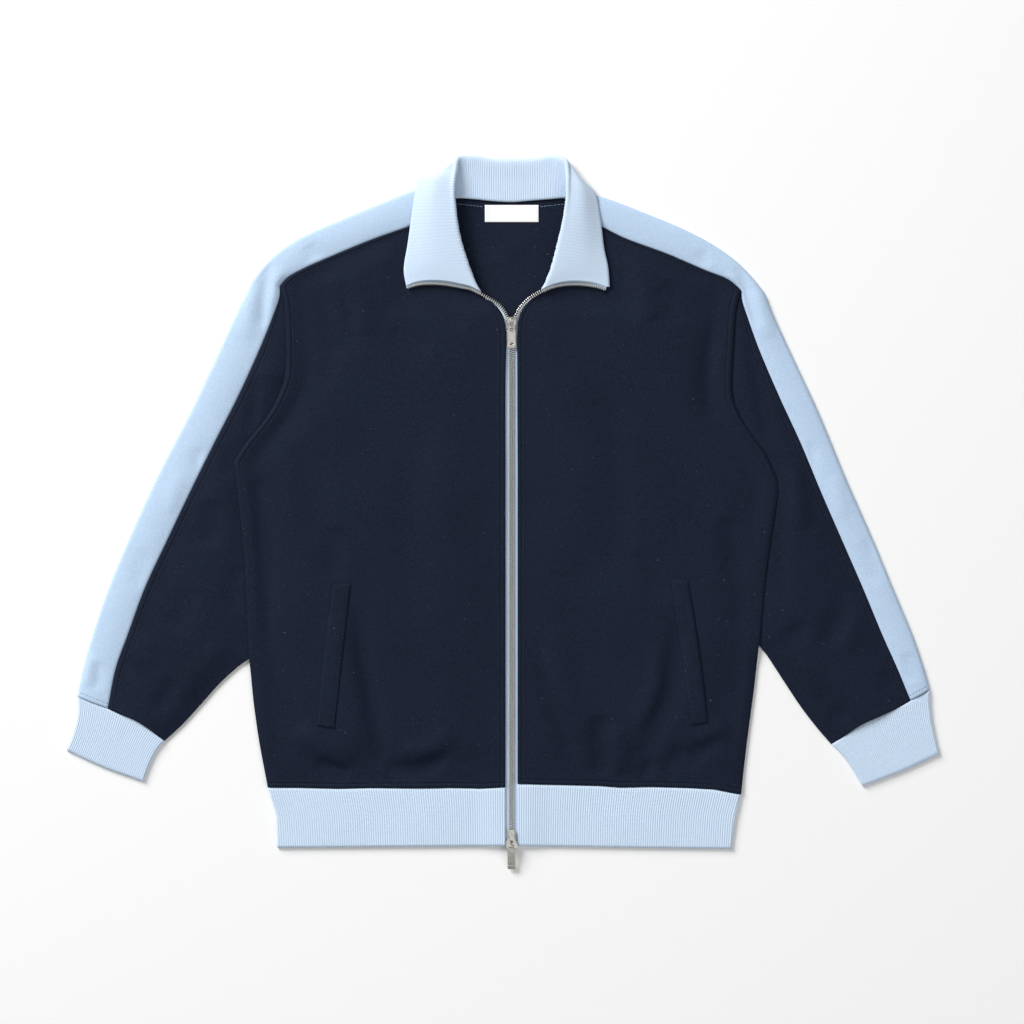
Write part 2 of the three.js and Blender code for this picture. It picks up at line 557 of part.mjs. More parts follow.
// Hem band: one strip of rib knit round the body, open at the zip
function hemWall() {
  const liningSteps = 36;
  const rowY = (key, x) => {
    const ends = [columnAt(HEM_TOP, 'x', 'y', x), columnAt(HEM_FOOT, 'x', 'y', x)];
    return lerp(...ends, { top: 0, middle: HEM_MIDDLE, foot: 1 }[key]);
  };
  const topAt = (x, end) => {
    const rise = HEM_ZIP_RISE * (1 - THREE.MathUtils.smoothstep(Math.abs(x), ZIP_CREST, ZIP_REACH));
    return BAND_TOP + rise * clamp(Math.abs(x - end) / HEM_SLOPE, 0, 1);
  };
  const half = (side, key) => {
    const { sign, hemEnd } = OUTLINES[side];
    const end = HEM_SIDES[side][key];
    const length = Math.abs(end - hemEnd) - BAND_FOLD.top;
    const ribs = Math.round((Math.abs(HEM_SIDES[side].top - hemEnd) - BAND_FOLD.top) / RIB_PITCH);
    const put = (x, z) => at(x, rowY(key, x), z);
    const span = (count, height) => Array.from({ length: count + 1 }, (_, i) => {
      const x = hemEnd + sign * length * i / count;
      return put(x, topAt(x, end) + height(i));
    });
    return {
      outer: [...span(2 * ribs, (i) => (i % 2) * RIB_HEIGHT),
        put(end - sign * BAND_FOLD.shoulder, BAND_TOP - BAND_SHOULDER_DROP), put(end, BAND_TOP / 2),
        put(end - sign * BAND_FOLD.foot, 0)],
      inner: [...span(liningSteps, () => -RIBBED), put(end - sign * RIBBED, BAND_TOP / 2),
        put(end - sign * BAND_FOLD.lining, RIBBED)],
    };
  };
  const rows = ['top', 'middle', 'foot'].map((key) => {
    const [right, left] = [half('right', key), half('left', key)];
    const under = (z) => [0.25, 0.5, 0.75].map((v) => {
      const x = lerp(HEM_SIDES.right[key], HEM_SIDES.left[key], v);
      return at(x, rowY(key, x), z);
    });
    return {
      outer: [...right.outer, ...under(0), ...reversed(left.outer)],
      inner: [...right.inner, ...under(RIBBED), ...reversed(left.inner)],
    };
  });
  return wall(rows.map((row) => row.outer), rows.map((row) => row.inner));
}

// Collar: one rib-knit band from the neck seam up to the roll and down over itself
function collarWall() {
  const columns = Object.keys(COLLAR.right[0]);
  const stations = [...reversed(COLLAR.right), ...COLLAR.left.slice(1)];
  const middle = COLLAR.right.length - 1;
  const last = stations.length - 1;
  const curves = columns.map((name) => new THREE.CatmullRomCurve3(
    stations.map((station, i) => at(i, station[name], 0)), false, 'centripetal'));

  // Middle of the cloth across the collar: neck seam, stand, roll, fall and free edge
  const sectionAt = (t) => {
    const value = Object.fromEntries(columns.map((name, i) => [name, curves[i].getPoint(t).y]));
    const turn = THREE.MathUtils.degToRad(value.turn);
    const swing = clamp((t * last - middle) / CORNER, -1, 1) * Math.PI / 2;
    const away = at(Math.sin(swing), Math.cos(swing), 0);
    const back = at(0, 0, -Math.sin(turn)).addScaledVector(away, -Math.cos(turn));
    const over = at(0, 0, -Math.cos(turn)).addScaledVector(away, Math.sin(turn));
    const neck = at(value.nx, value.ny, value.nz);
    const roll = at(value.rx, value.ry, value.rz);
    const edge = at(value.ex, value.ey, value.ez);
    const base = roll.clone().addScaledVector(back, ROLL_SPREAD);
    const stand = base.clone().addScaledVector(over, -ROLL_SPREAD);
    const fall = base.clone().addScaledVector(over, ROLL_SPREAD);
    const lower = fall.clone().lerp(edge, 0.5).add(at(0, 0, value.bulge));
    return [neck, stand, roll, fall, lower, edge];
  };

  const offset = (t, face, lift) => {
    const here = sectionAt(t);
    const before = sectionAt(Math.max(t - NEAR, 0));
    const after = sectionAt(Math.min(t + NEAR, 1));
    const shown = clamp((Math.abs(t * last - middle) - SHOWN.from) / SHOWN.over, 0, 1);
    return here.map((point, j) => {
      const run = after[j].clone().sub(before[j]);
      const across = here[Math.min(j + 1, here.length - 1)].clone().sub(here[Math.max(j - 1, 0)]);
      const rib = lift * (j > 2 ? shown : 1);
      return point.clone().addScaledVector(run.cross(across).normalize(), face * (RIBBED / 2 + rib));
    });
  };
  const half = Math.round(COLLAR_LENGTH / RIB_PITCH) * 2;
  const outer = Array.from({ length: half + 1 }, (_, i) => offset(i / half, 1, (i % 2) * RIB_HEIGHT));
  const inner = Array.from({ length: COLLAR_LINING_STEPS + 1 },
    (_, i) => offset(i / COLLAR_LINING_STEPS, -1, 0));
  return wall(outer, inner);
}

// A flat strip along a path. near and far are its edges' distances to the path's outer side, and
// bottom is the height of its underside over the path
function strip(points, near, far, bottom, thickness, sign) {
  const top = points.map((point, i) => [near, far].map((reach) => {
    const edge = outward(points, reach, sign)[i];
    return at(edge.x, edge.y, point.z + bottom + thickness);
  }));
  return sheet(top, thickness);
}

function toManifold(geometry) {
  const plain = geometry.index ? geometry.toNonIndexed() : geometry;
  const position = plain.getAttribute('position');
  const keys = new Map();
  const vertices = [];
  const triangles = [];
  for (let i = 0; i < position.count; i += 1) {
    const corner = [position.getX(i), position.getY(i), position.getZ(i)];
    const key = corner.map((value) => Math.round(value * 1e4)).join();
    if (!keys.has(key)) {
      keys.set(key, vertices.length / 3);
      vertices.push(...corner);
    }
    triangles.push(keys.get(key));
  }
  return new wasm.Manifold(new wasm.Mesh({
    numProp: 3,
    vertProperties: new Float32Array(vertices),
    triVerts: new Uint32Array(triangles),
  }));
}

function fromManifold(body) {
  const { vertProperties, triVerts } = body.getMesh();
  const geometry = new THREE.BufferGeometry();
  geometry.setAttribute('position', new THREE.BufferAttribute(new Float32Array(vertProperties), 3));
  geometry.setIndex([...triVerts]);
  return geometry;
}

// A plate of a plan outline between two heights
function plate(points, bottom, top) {
  const shape = new THREE.Shape(points.map(([x, y]) => new THREE.Vector2(x, y)));
  const geometry = new THREE.ExtrudeGeometry(shape, { depth: top - bottom, bevelEnabled: false });
  return geometry.translate(0, 0, bottom);
}

// Slider: top and bottom plates joined by a post at the mouth, and a bridge for the pull
function sliderBody(size) {
  const { y, half, wide, narrow, mouth } = size;
  const mouthY = y + mouth * half;
  const outline = (trim) => {
    const [w, n] = [wide - trim, narrow - trim];
    return [[-n, y - mouth * half], [-w, lerp(y, mouthY, SLIDER_WAIST)], [-w * SLIDER_LIP, mouthY],
      [w * SLIDER_LIP, mouthY], [w, lerp(y, mouthY, SLIDER_WAIST)], [n, y - mouth * half]];
  };
  const postEnds = [mouthY - mouth * POST.set, mouthY - mouth * (POST.set + POST.length)];
  const post = [[-POST.half, postEnds[0]], [POST.half, postEnds[0]], [POST.half, postEnds[1]],
    [-POST.half, postEnds[1]]];
  const hinge = size.plate + SLIDER_PLATE + BRIDGE_RISE;
  const root = size.plate + SINK - hinge;
  const arch = new THREE.Shape();
  arch.moveTo(-BRIDGE.outer, root);
  arch.lineTo(-BRIDGE.outer, 0);
  arch.absarc(0, 0, BRIDGE.outer, Math.PI, 0, true);
  arch.lineTo(BRIDGE.outer, root);
  arch.lineTo(BRIDGE.inner, root);
  arch.lineTo(BRIDGE.inner, 0);
  arch.absarc(0, 0, BRIDGE.inner, 0, Math.PI, false);
  arch.lineTo(-BRIDGE.inner, root);
  const bridge = new THREE.ExtrudeGeometry(arch,
    { depth: BRIDGE.width, bevelEnabled: false, curveSegments: 6 });
  bridge.translate(0, 0, -BRIDGE.width / 2).rotateX(Math.PI / 2).rotateZ(Math.PI / 2);
  bridge.translate(0, size.hinge, hinge);
  const parts = [
    plate(outline(0), size.plate, size.plate + SLIDER_PLATE),
    plate(outline(FOOT_TRIM), size.foot, size.footTop),
    plate(post, size.foot + SINK / 2, size.plate + SINK),
    bridge,
  ];
  return fromManifold(parts.map(toManifold).reduce((body, part) => body.add(part)));
}

// Pull: a flat tab with a slot that leaves a cross bar inside the slider's bridge
function pullTab(size) {
  const half = size.width / 2;
  const foot = -size.reach;
  const shape = new THREE.Shape();
  shape.moveTo(-half * PULL.neck, PULL.bar);
  shape.lineTo(-half, PULL.shoulder);
  shape.lineTo(-half, foot + PULL.corner);
  shape.quadraticCurveTo(-half, foot, PULL.corner - half, foot);
  shape.lineTo(half - PULL.corner, foot);
  shape.quadraticCurveTo(half, foot, half, foot + PULL.corner);
  shape.lineTo(half, PULL.shoulder);
  shape.lineTo(half * PULL.neck, PULL.bar);
  const slot = new THREE.Path();
  slot.moveTo(-PULL.slot, -PULL.bar);
  slot.lineTo(PULL.slot, -PULL.bar);
  slot.lineTo(PULL.slot, PULL.slotEnd);
  slot.lineTo(-PULL.slot, PULL.slotEnd);
  slot.closePath();
  shape.holes.push(slot);
  if (size.hole) {
    const hole = new THREE.Path();
    hole.absarc(0, -size.hole, PULL.hole, 0, Math.PI * 2, false);
    shape.holes.push(hole);
  }
  const tab = new THREE.ExtrudeGeometry(shape,
    { depth: PULL_THICKNESS, bevelEnabled: false, curveSegments: 4 });
  tab.translate(0, 0, -PULL_THICKNESS / 2).rotateX(THREE.MathUtils.degToRad(size.tilt));
  return tab.translate(0, size.hinge, size.plate + SLIDER_PLATE + BRIDGE_RISE);
}

// Body and sleeves, side by side
const seamsBySide = { right: seamsOf('right'), left: seamsOf('left') };
for (const [side, seams] of Object.entries(seamsBySide)) {
  const front = frontGrid(seams, FOLDS[side]);
  addMesh(`front_${side}`, sheet(front, KNIT), 'navy');
  addMesh(`sleeve_front_${side}`, sheet(sleeveFront(side, seams), KNIT), 'navy');
  addMesh(`stripe_${side}`, stripeWall(seams), 'sky');
  addMesh(`cuff_${side}`, cuffWall(seams), 'rib');

  const backEdge = outward(seams.sleeveBody, -SEAM, seams.sign);
  const sleeveBack = sleeveGrid(seams, backEdge, () => KNIT).slice(1);
  const backOutline = [...sleeveBack.map((row) => row[0]), ...sleeveBack[sleeveBack.length - 1].slice(1),
    ...reversed(sleeveBack.map((row) => row[row.length - 1])).slice(1)];
  addMesh(`sleeve_back_${side}`, plate(backOutline.map(({ x, y }) => [x, y]), 0, KNIT), 'navy');

  const [topOut, topIn, footOut, footIn] = seams.welt;
  const welt = [];
  for (let i = 0; i <= WELT_ROWS; i += 1) {
    const t = i / WELT_ROWS;
    welt.push([0, 0.5, 1].map((v) => {
      const x = lerp(lerp(topOut.x, footOut.x, t), lerp(topIn.x, footIn.x, t), v);
      const y = lerp(lerp(topOut.y, footOut.y, t), lerp(topIn.y, footIn.y, t), v);
      return at(x, y, heightOn(front, x, y) + LIE + KNIT);
    }));
  }
  addMesh(`pocket_welt_${side}`, sheet(welt, KNIT), 'navy');

  const chain = along(CHAINS[side], CHAIN_STEPS);
  addMesh(`zip_chain_${side}`, strip(chain, -CHAIN_HALF_WIDTH, CHAIN_HALF_WIDTH, -CHAIN_HALF_HEIGHT,
    2 * CHAIN_HALF_HEIGHT, seams.sign), 'metal');
}

// Back: one knit panel between the side seams, flat on the table, up to the back neck seam
function backPanel() {
  const [right, left] = [seamsBySide.right.body, seamsBySide.left.body];
  const neck = along(BACK_NECK, BACK_NECK_STEPS);
  const foot = [left[0], seamsBySide.left.opening[0], seamsBySide.right.opening[0], right[0]]
    .map((point) => point.clone().add(at(0, SEAM, 0)));
  const outline = [...right.slice(1), ...neck, ...reversed(left.slice(1)), ...foot];
  return plate(outline.map(({ x, y }) => [x, y]), 0, KNIT);
}

addMesh('back_panel', backPanel(), 'navy');
addMesh('hem_band', hemWall(), 'rib');
addMesh('collar', collarWall(), 'rib');

// Zip tapes: under the fronts as far as the V, then along the turned collar's edge
for (const [side, seams] of Object.entries(seamsBySide)) {
  const chain = along(CHAINS[side], CHAIN_STEPS);
  const turned = chain.findIndex((point) => Math.abs(point.x) > COLLAR_TAPE_START);
  const straight = along(CHAINS[side].filter((point) => point.y < TAPE_END), TAPE_STEPS);
  const inner = CHAIN_HALF_WIDTH + SEAM;
  const bottom = TAPE_BOTTOM - CHAIN_Z;
  addMesh(`zip_tape_${side}`, strip(straight, inner, inner + TAPE_WIDTH, bottom, TAPE_THICKNESS,
    seams.sign), 'tape');
  addMesh(`collar_tape_${side}`, strip(chain.slice(turned), -inner - COLLAR_TAPE, -inner,
    -TAPE_THICKNESS, TAPE_THICKNESS, seams.sign), 'tape');
}

for (const [name, size] of Object.entries(SLIDERS)) {
  addMesh(`slider_${name}`, sliderBody(size), 'metal');
  addMesh(`pull_${name}`, pullTab(size), 'metal');
}

// Blank woven label on the inside of the back, below the neck seam
const labelRows = [LABEL_CORNERS.top, LABEL_CORNERS.foot].map((y) => [LABEL_CORNERS.left,
  LABEL_CORNERS.right].map((x) => at(x, y, KNIT + LIE + LABEL)));
addMesh('neck_label', sheet(labelRows, LABEL), 'label');

export default jacket;
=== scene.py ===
import math

import bmesh
import bpy
import numpy as np
from mathutils import Matrix


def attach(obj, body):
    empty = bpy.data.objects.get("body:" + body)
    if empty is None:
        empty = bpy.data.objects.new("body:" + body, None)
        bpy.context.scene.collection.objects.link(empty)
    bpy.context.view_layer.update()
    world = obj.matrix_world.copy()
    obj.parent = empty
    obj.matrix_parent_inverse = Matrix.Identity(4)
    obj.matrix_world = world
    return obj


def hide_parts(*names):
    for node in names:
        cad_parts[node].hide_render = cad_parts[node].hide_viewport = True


# Track jacket with a full zip, laid flat on its back with the collar turned down. The tables are in
# millimetres, in the frame of the solids: +X is the wearer's left, +Y points to the collar, +Z is up.
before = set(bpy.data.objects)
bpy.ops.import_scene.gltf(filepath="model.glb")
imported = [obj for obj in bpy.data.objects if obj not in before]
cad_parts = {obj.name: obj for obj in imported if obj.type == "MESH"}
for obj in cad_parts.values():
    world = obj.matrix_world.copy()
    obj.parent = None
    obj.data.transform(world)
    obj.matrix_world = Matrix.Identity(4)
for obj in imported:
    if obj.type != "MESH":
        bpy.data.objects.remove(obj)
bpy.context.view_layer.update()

# Back: one panel of navy interlock, a smooth polyester double knit, cut to the side seams, armholes,
# shoulders and back neck. It lies on the floor, face down, and is topstitched beside its seams.
MM = 0.001
KNIT = 1.2                 # thickness of the navy knit
SEAM_GAP = 0.15            # between two cloths along their seam
SIDES = {"right": -1, "left": 1}

# Legs of the body's outline as (rows, points): side from the hem, side to armpit, armhole, shoulder
BODY_OUTLINE = {
    "right": [
        (7, [(-256, -301.2), (-265, -254), (-271, -212), (-275.5, -165)]),
        (9, [(-275.5, -165), (-277, -130), (-280.5, -63), (-286, -4), (-291.5, 40)]),
        (10, [(-291.5, 40), (-279, 59.5), (-263, 79), (-250.5, 97.5), (-241, 118.5), (-237, 136.5),
              (-237, 176.5), (-239, 209), (-243, 224.5)]),
        (7, [(-243, 224.5), (-235.5, 233), (-221, 241.5), (-183, 258.5), (-142.5, 275), (-107, 287.5),
             (-78, 298)]),
    ],
    "left": [
        (7, [(241, -308.6), (246.5, -260.5), (255, -195.5), (260, -150)]),
        (9, [(260, -150), (265, -94.5), (271.5, -42), (277.5, -5), (279.5, 10), (278, 24)]),
        (10, [(278, 24), (266, 49.5), (253.5, 66), (243, 82), (234.5, 100), (231.5, 115.5), (233.5, 168),
              (236, 203), (241, 220.5)]),
        (7, [(241, 220.5), (228.5, 231), (203, 241.5), (163.5, 258.5), (119, 275), (97, 286), (76, 297)]),
    ],
}
ARMPIT_ROW = 16
NECK_ROW = 33
BACK_NECK = [(-62, 318.5), (-33, 315.8), (0, 314.6), (30, 315.6), (62, 318.5)]
# Seam of the body and the hem band, slightly wavy, from the wearer's right to the left
HEM_SEAM = [(-256, -302), (-222, -302.2), (-180, -303.2), (-148, -302.6), (-96, -302.7), (-64, -302.2),
            (-33, -303.2), (-6.3, -301.4), (6.3, -298), (51, -299.2), (93, -300.2), (114, -301.8),
            (145, -301.2), (187, -302.7), (213, -304), (241, -309.4)]
# From a seam to its topstitching, the mesh lines beside the seam, and which of them is the stitch line
STITCH_LINE = 6.5
NEAR_SEAM = [0, 0.5, 1.2, 2.4, 3.8, 5.2, 5.9, 6.5, 7.1, 7.8, 9, 11]
STITCH_COLUMN = 7
HEM_STITCH = 4.6
NEAR_HEM = [0, 0.5, 1.2, 2.2, 3.2, 4, 4.6, 5.2, 6, 7.5, 9.5]
HEM_STITCH_ROW = 6
# What pressing and topstitching do to the cloth beside a seam
SEAM_RAISED = 0.45
EDGE_SUNK = 0.6
STITCH_SUNK = 0.85
ROW_LENGTH = 20            # length of a row of the tables along the side
# Creases as (half width, rise, line that they follow): a fall is negative
BACK_CREASES = [
    (11, 0.8, [(18, 285), (3, 264), (-12, 245)]),
    (18, 0.7, [(-150, 190), (-96, 150), (-60, 96)]),
    (16, 0.6, [(150, 182), (108, 138), (84, 84)]),
    (15, 0.7, [(-206, -40), (-180, -120), (-176, -190)]),
    (14, 0.6, [(-60, -210), (-92, -248), (-104, -286)]),
    (15, 0.7, [(206, -60), (188, -128), (192, -186)]),
    (13, 0.6, [(40, -190), (70, -236), (82, -280)]),
    (20, 0.5, [(-30, 60), (10, 20), (24, -50)]),
]


def run_along(points):
    """Distance of each point from the first one, along their line."""
    return np.concatenate([[0], np.cumsum(np.linalg.norm(np.diff(points, axis=0), axis=1))])


def spots_on(line, run, distances):
    """Points of a line at the given distances along it."""
    return np.stack([np.interp(distances, run, axis) for axis in line.T], -1)


def smooth_line(points, steps=24):
    """Close points on a smooth curve through the given ones, and how far along it each lies."""
    p = np.array(points, float)
    p = np.vstack([2 * p[0] - p[1], p, 2 * p[-1] - p[-2]])
    legs = []
    for a, b, c, d in zip(p, p[1:], p[2:], p[3:]):
        gaps = [b - a, c - b, d - c]
        before, here, after = (math.sqrt(max(np.linalg.norm(gap), 1e-9)) for gap in gaps)
        start = ((b - a) / before - (c - a) / (before + here) + (c - b) / here) * here
        end = ((c - b) / here - (d - b) / (here + after) + (d - c) / after) * here
        w = np.linspace(0, 1, steps, endpoint=False)[:, None]
        square, cube = 3 * (c - b) - 2 * start - end, 2 * (b - c) + start + end
        legs.append(b + start * w + square * w**2 + cube * w**3)
    line = np.vstack([*legs, p[-2:-1]])
    return line, run_along(line)


def at(points, share):
    """Points at the given shares of the way along a smooth line."""
    line, run = smooth_line(points)
    return spots_on(line, run, np.asarray(share) * run[-1])


def along(legs, rows):
    """Points at row numbers along a seam made of (rows, points) legs."""
    out = np.zeros((len(rows), 2))
    start = 0
    for count, points in legs:
        inside = (rows >= start - 1e-9) & (rows <= start + count + 1e-9)
        out[inside] = at(points, (rows[inside] - start) / count)
        start += count
    return out


def mix(a, b, share):
    """What lies between a and b, at a share of the way."""
    return a + (b - a) * share


def ease(value, low, high):
    """Runs smoothly from 0 at low to 1 at high."""
    t = np.clip((value - low) / (high - low), 0, 1)
    return t * t * (3 - 2 * t)


def bell(distance, reach):
    """A smooth bump: 1 at distance 0, and little beyond its reach."""
    return np.exp(-((distance / reach) ** 2))


def creased(x, y, creases):
    """Height that creases add: each is a soft trough or ridge that fades at its ends."""
    height = np.zeros(np.shape(x))
    steps = 16
    for reach, lift, points in creases:
        line = at(points, np.linspace(0, 1, steps + 1))
        nearest = np.full(np.shape(x), np.inf)
        share = np.zeros(np.shape(x))
        for k in range(steps):
            run = line[k + 1] - line[k]
            t = np.clip(((x - line[k][0]) * run[0] + (y - line[k][1]) * run[1]) / (run @ run), 0, 1)
            distance = np.hypot(x - line[k][0] - t * run[0], y - line[k][1] - t * run[1])
            closer = distance < nearest
            nearest = np.where(closer, distance, nearest)
            share = np.where(closer, (k + t) / steps, share)
        height += lift * bell(nearest, reach) * (1 - np.abs(2 * share - 1) ** 3)
    return height


def uneven(x, y, size, height):
    """Slight unevenness of cloth that lies loose, about size wide."""
    k = 2 * math.pi / size
    one = np.sin(k * x + 0.6 * np.sin(0.7 * k * y))
    two = np.sin(0.8 * k * y + 1.3 + 0.5 * np.sin(0.6 * k * x))
    three = np.sin(0.6 * k * (x + y) + 2.1)
    return height * (one + two + three) / 3


def pressed_seam(distance, stitch_line=STITCH_LINE):
    """Height beside a topstitched seam: it rolls in at the edge, is raised, and dips at the stitches."""
    raised = SEAM_RAISED * (1 - ease(distance, stitch_line + 0.6, stitch_line + 3))
    return raised - EDGE_SUNK * bell(distance, 0.8) - STITCH_SUNK * bell(distance - stitch_line, 0.65)


def rows_from(near, length, start, end, step):
    """Row numbers from start to end, close together next to the start."""
    first = start + np.array(near) / length
    rest = np.linspace(first[-1], end, max(int(round((end - first[-1]) / step)), 1) + 1)[1:]
    return np.concatenate([first, rest])


def shares(width, near, far, middle):
    """Shares of the way across each row: close together next to its seams and even between them."""
    squeeze = np.minimum(1, width / (2.4 * (near[-1] + far[-1])))[:, None]
    start = np.array(near) * squeeze / width[:, None]
    end = 1 - np.array(far[::-1]) * squeeze / width[:, None]
    between = mix(start[:, -1:], end[:, :1], np.linspace(0, 1, middle + 2)[1:-1])
    return np.hstack([start, between, end]), squeeze


def wall(name, outer, inner, chart, closed=False):
    """A closed wall of cloth from grids of outer and inner points, and a chart of the cloth as cut."""
    rows, columns = outer.shape[:2]
    count = rows * columns
    spots = np.arange(count).reshape(rows, columns)
    places = np.arange(chart.shape[0] * chart.shape[1]).reshape(chart.shape[:2])
    if closed:
        spots = np.hstack([spots, spots[:, :1]])

    def cells(ids):
        return np.stack([ids[:-1, :-1], ids[1:, :-1], ids[1:, 1:], ids[:-1, 1:]], -1).reshape(-1, 4)

    def rim(ids, offset):
        edges = [ids[0][::-1], ids[-1]] + ([] if closed else [ids[:, 0], ids[::-1, -1]])
        return np.vstack([np.stack([e[1:], e[:-1], e[:-1] + offset, e[1:] + offset], -1) for e in edges])

    faces = np.vstack([cells(spots), cells(spots)[:, ::-1] + count, rim(spots, count)])
    corners = np.vstack([cells(places), cells(places)[:, ::-1], rim(places, 0)])
    points = np.vstack([outer.reshape(-1, 3), inner.reshape(-1, 3)]) * MM
    a, b, c, d = (points[faces[:, k]] for k in range(4))
    volume = np.einsum("ij,ij->", a, np.cross(b, c)) + np.einsum("ij,ij->", a, np.cross(c, d))
    if volume < 0:
        faces = faces[:, ::-1]
        corners = corners[:, ::-1]
    return mesh_piece(name, points, faces, chart.reshape(-1, 2)[corners.ravel()] * MM)


def mesh_piece(name, points, faces, chart=None, smooth=True):
    """A mesh object from points in metres and faces, with a chart of the cloth if it has one."""
    mesh = bpy.data.meshes.new(name)
    mesh.from_pydata(np.asarray(points).tolist(), [], [[int(k) for k in face] for face in faces])
    mesh.polygons.foreach_set("use_smooth", np.full(len(faces), smooth))
    if chart is not None:
        layer = mesh.uv_layers.new(name="cloth")
        layer.data.foreach_set("uv", chart.ravel())
    mesh.update()
    return put(name, mesh)


def put(name, data):
    """An object with this mesh, light or camera, placed in the scene."""
    made = bpy.data.objects.new(name, data)
    bpy.context.scene.collection.objects.link(made)
    return made


def linear(code):
    """Linear RGBA of an sRGB hex colour."""
    values = [int(code[i:i + 2], 16) / 255 for i in (1, 3, 5)]
    return (*[v / 12.92 if v <= 0.04045 else ((v + 0.055) / 1.055) ** 2.4 for v in values], 1)


def add(tree, kind, inputs, **settings):
    """Adds a shader node with its settings, and gives each input a value or a link."""
    new = tree.nodes.new("ShaderNode" + kind)
    for key, value in settings.items():
        setattr(new, key, value)
    for key, value in inputs.items():
        if isinstance(value, bpy.types.NodeSocket):
            tree.links.new(value, new.inputs[key])
        else:
            new.inputs[key].default_value = value
    return new


def new_finish(name):
    """An empty node material and its tree."""
    finish = bpy.data.materials.new(name)
    finish.use_nodes = True
    finish.node_tree.nodes.clear()
    return finish, finish.node_tree


def band_scale(period):
    """Scale at which a wave texture, which has 20 radians a unit, repeats every period, in metres."""
    return math.pi / 10 / period


def knit_finish(name, face, shade, wale, course, speck, sheen, roughness):
    """Smooth double knit: fine wales and courses, a slightly mottled colour and a few specks of lint."""
    finish, tree = new_finish(name)
    cloth = add(tree, "UVMap", {}, uv_map="cloth").outputs["UV"]
    place = add(tree, "TexCoord", {}).outputs["Object"]
    wales = add(tree, "TexWave", {"Vector": cloth, "Scale": band_scale(wale), "Distortion": 0.6,
                "Detail Scale": 1.5}, bands_direction="X").outputs["Fac"]
    courses = add(tree, "TexWave", {"Vector": cloth, "Scale": band_scale(course),
                  "Distortion": 0.8, "Detail Scale": 1.5}, bands_direction="Y").outputs["Fac"]
    loops = add(tree, "Math", {0: wales, 1: courses}, operation="MULTIPLY").outputs[0]
    grain = add(tree, "TexNoise", {"Vector": place, "Scale": 1 / speck, "Detail": 3,
                "Roughness": 0.65}).outputs["Fac"]
    cloud = add(tree, "TexNoise", {"Vector": place, "Scale": 14, "Detail": 2}).outputs["Fac"]
    tone = -0.5
    for layer, part in ((grain, 1.7), (cloud, 0.22), (loops, 0.16)):
        tone = add(tree, "Math", {0: layer, 1: part, 2: tone}, operation="MULTIPLY_ADD").outputs[0]
    colour = add(tree, "Mix", {0: tone, 6: linear(shade), 7: linear(face)},
                 data_type="RGBA").outputs[2]
    dust = add(tree, "TexNoise", {"Vector": place, "Scale": 420, "Detail": 0}).outputs["Fac"]
    lint = add(tree, "MapRange", {"Value": dust, "From Min": 0.82, "From Max": 0.95,
               "To Max": 0.15}).outputs[0]
    colour = add(tree, "Mix", {0: lint, 6: colour, 7: linear("#A4ABBA")}, data_type="RGBA").outputs[2]
    rough = add(tree, "Math", {0: grain, 1: 0.12, 2: roughness - 0.06},
                operation="MULTIPLY_ADD").outputs[0]
    relief = add(tree, "Math", {0: grain, 1: 0.5, 2: loops}, operation="MULTIPLY_ADD").outputs[0]
    bump = add(tree, "Bump", {"Height": relief, "Strength": 0.35, "Distance": 0.00012}).outputs[0]
    shader = add(tree, "BsdfPrincipled", {"Base Color": colour, "Roughness": rough, "IOR": 1.46,
                 "Specular IOR Level": 0.15, "Sheen Weight": sheen, "Sheen Roughness": 0.4, "Normal": bump})
    add(tree, "OutputMaterial", {"Surface": shader.outputs[0]})
    return finish


# Polyester interlock, piece-dyed navy: a matt, nearly black blue with a fine pepper of lighter loops and
# a few pale specks of lint. Its real wales are 0.7 mm apart, drawn at 1.1 mm so that they show.
navy_knit = knit_finish("Navy polyester interlock", "#1C263B", "#080D18", 0.0011, 0.0013, 0.0016, 0, 0.8)


def dress(piece, finish, slot, body, *nodes):
    """Gives a piece its finish and ties it to the solids that it stands for."""
    piece.data.materials.append(finish)
    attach(piece, body)
    if nodes:
        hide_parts(*nodes)


def meet_hem(edge):
    """How far a panel's lowest points move to meet the hem seam."""
    return np.interp(edge[:, 0], *np.array(HEM_SEAM).T) + SEAM_GAP - edge[:, 1]


FLOOR_GAP = 0.05           # between the floor and the lowest cloth
back_rows = rows_from(NEAR_HEM, ROW_LENGTH, 0, NECK_ROW, 0.25)
back_ends = {side: along(legs, back_rows) for side, legs in BODY_OUTLINE.items()}
back_width = np.linalg.norm(back_ends["left"] - back_ends["right"], axis=1)
back_share, back_squeeze = shares(back_width, NEAR_SEAM, NEAR_SEAM, 92)
back_plan = mix(back_ends["right"][:, None], back_ends["left"][:, None], back_share[..., None])
back_plan[..., 1] += meet_hem(back_plan[0]) * np.clip(1 - back_rows / 3, 0, 1)[:, None]
neck_line = at(BACK_NECK, back_share[-1])
neck_steps = np.linspace(0, 1, 13)[1:, None, None]
back_plan = np.concatenate([back_plan, mix(back_plan[-1], neck_line, neck_steps)])
back_from_side = np.minimum(back_share, 1 - back_share) * back_width[:, None] / back_squeeze
back_seamed = ease(back_rows, ARMPIT_ROW - 0.4, ARMPIT_ROW + 0.4)[:, None]
back_press = pressed_seam(back_from_side) * back_seamed
back_press += pressed_seam(back_rows * ROW_LENGTH, HEM_STITCH)[:, None] * np.ones(back_share.shape)
back_press = np.concatenate([back_press, np.repeat(back_press[-1:], len(neck_steps), axis=0)])
back_x, back_y = back_plan[..., 0], back_plan[..., 1]
back_rise = np.clip(creased(back_x, back_y, BACK_CREASES) + uneven(back_x, back_y, 130, 0.25), -0.1, 0.9)
back_dips = bell(back_from_side - STITCH_LINE, 0.7) * back_seamed
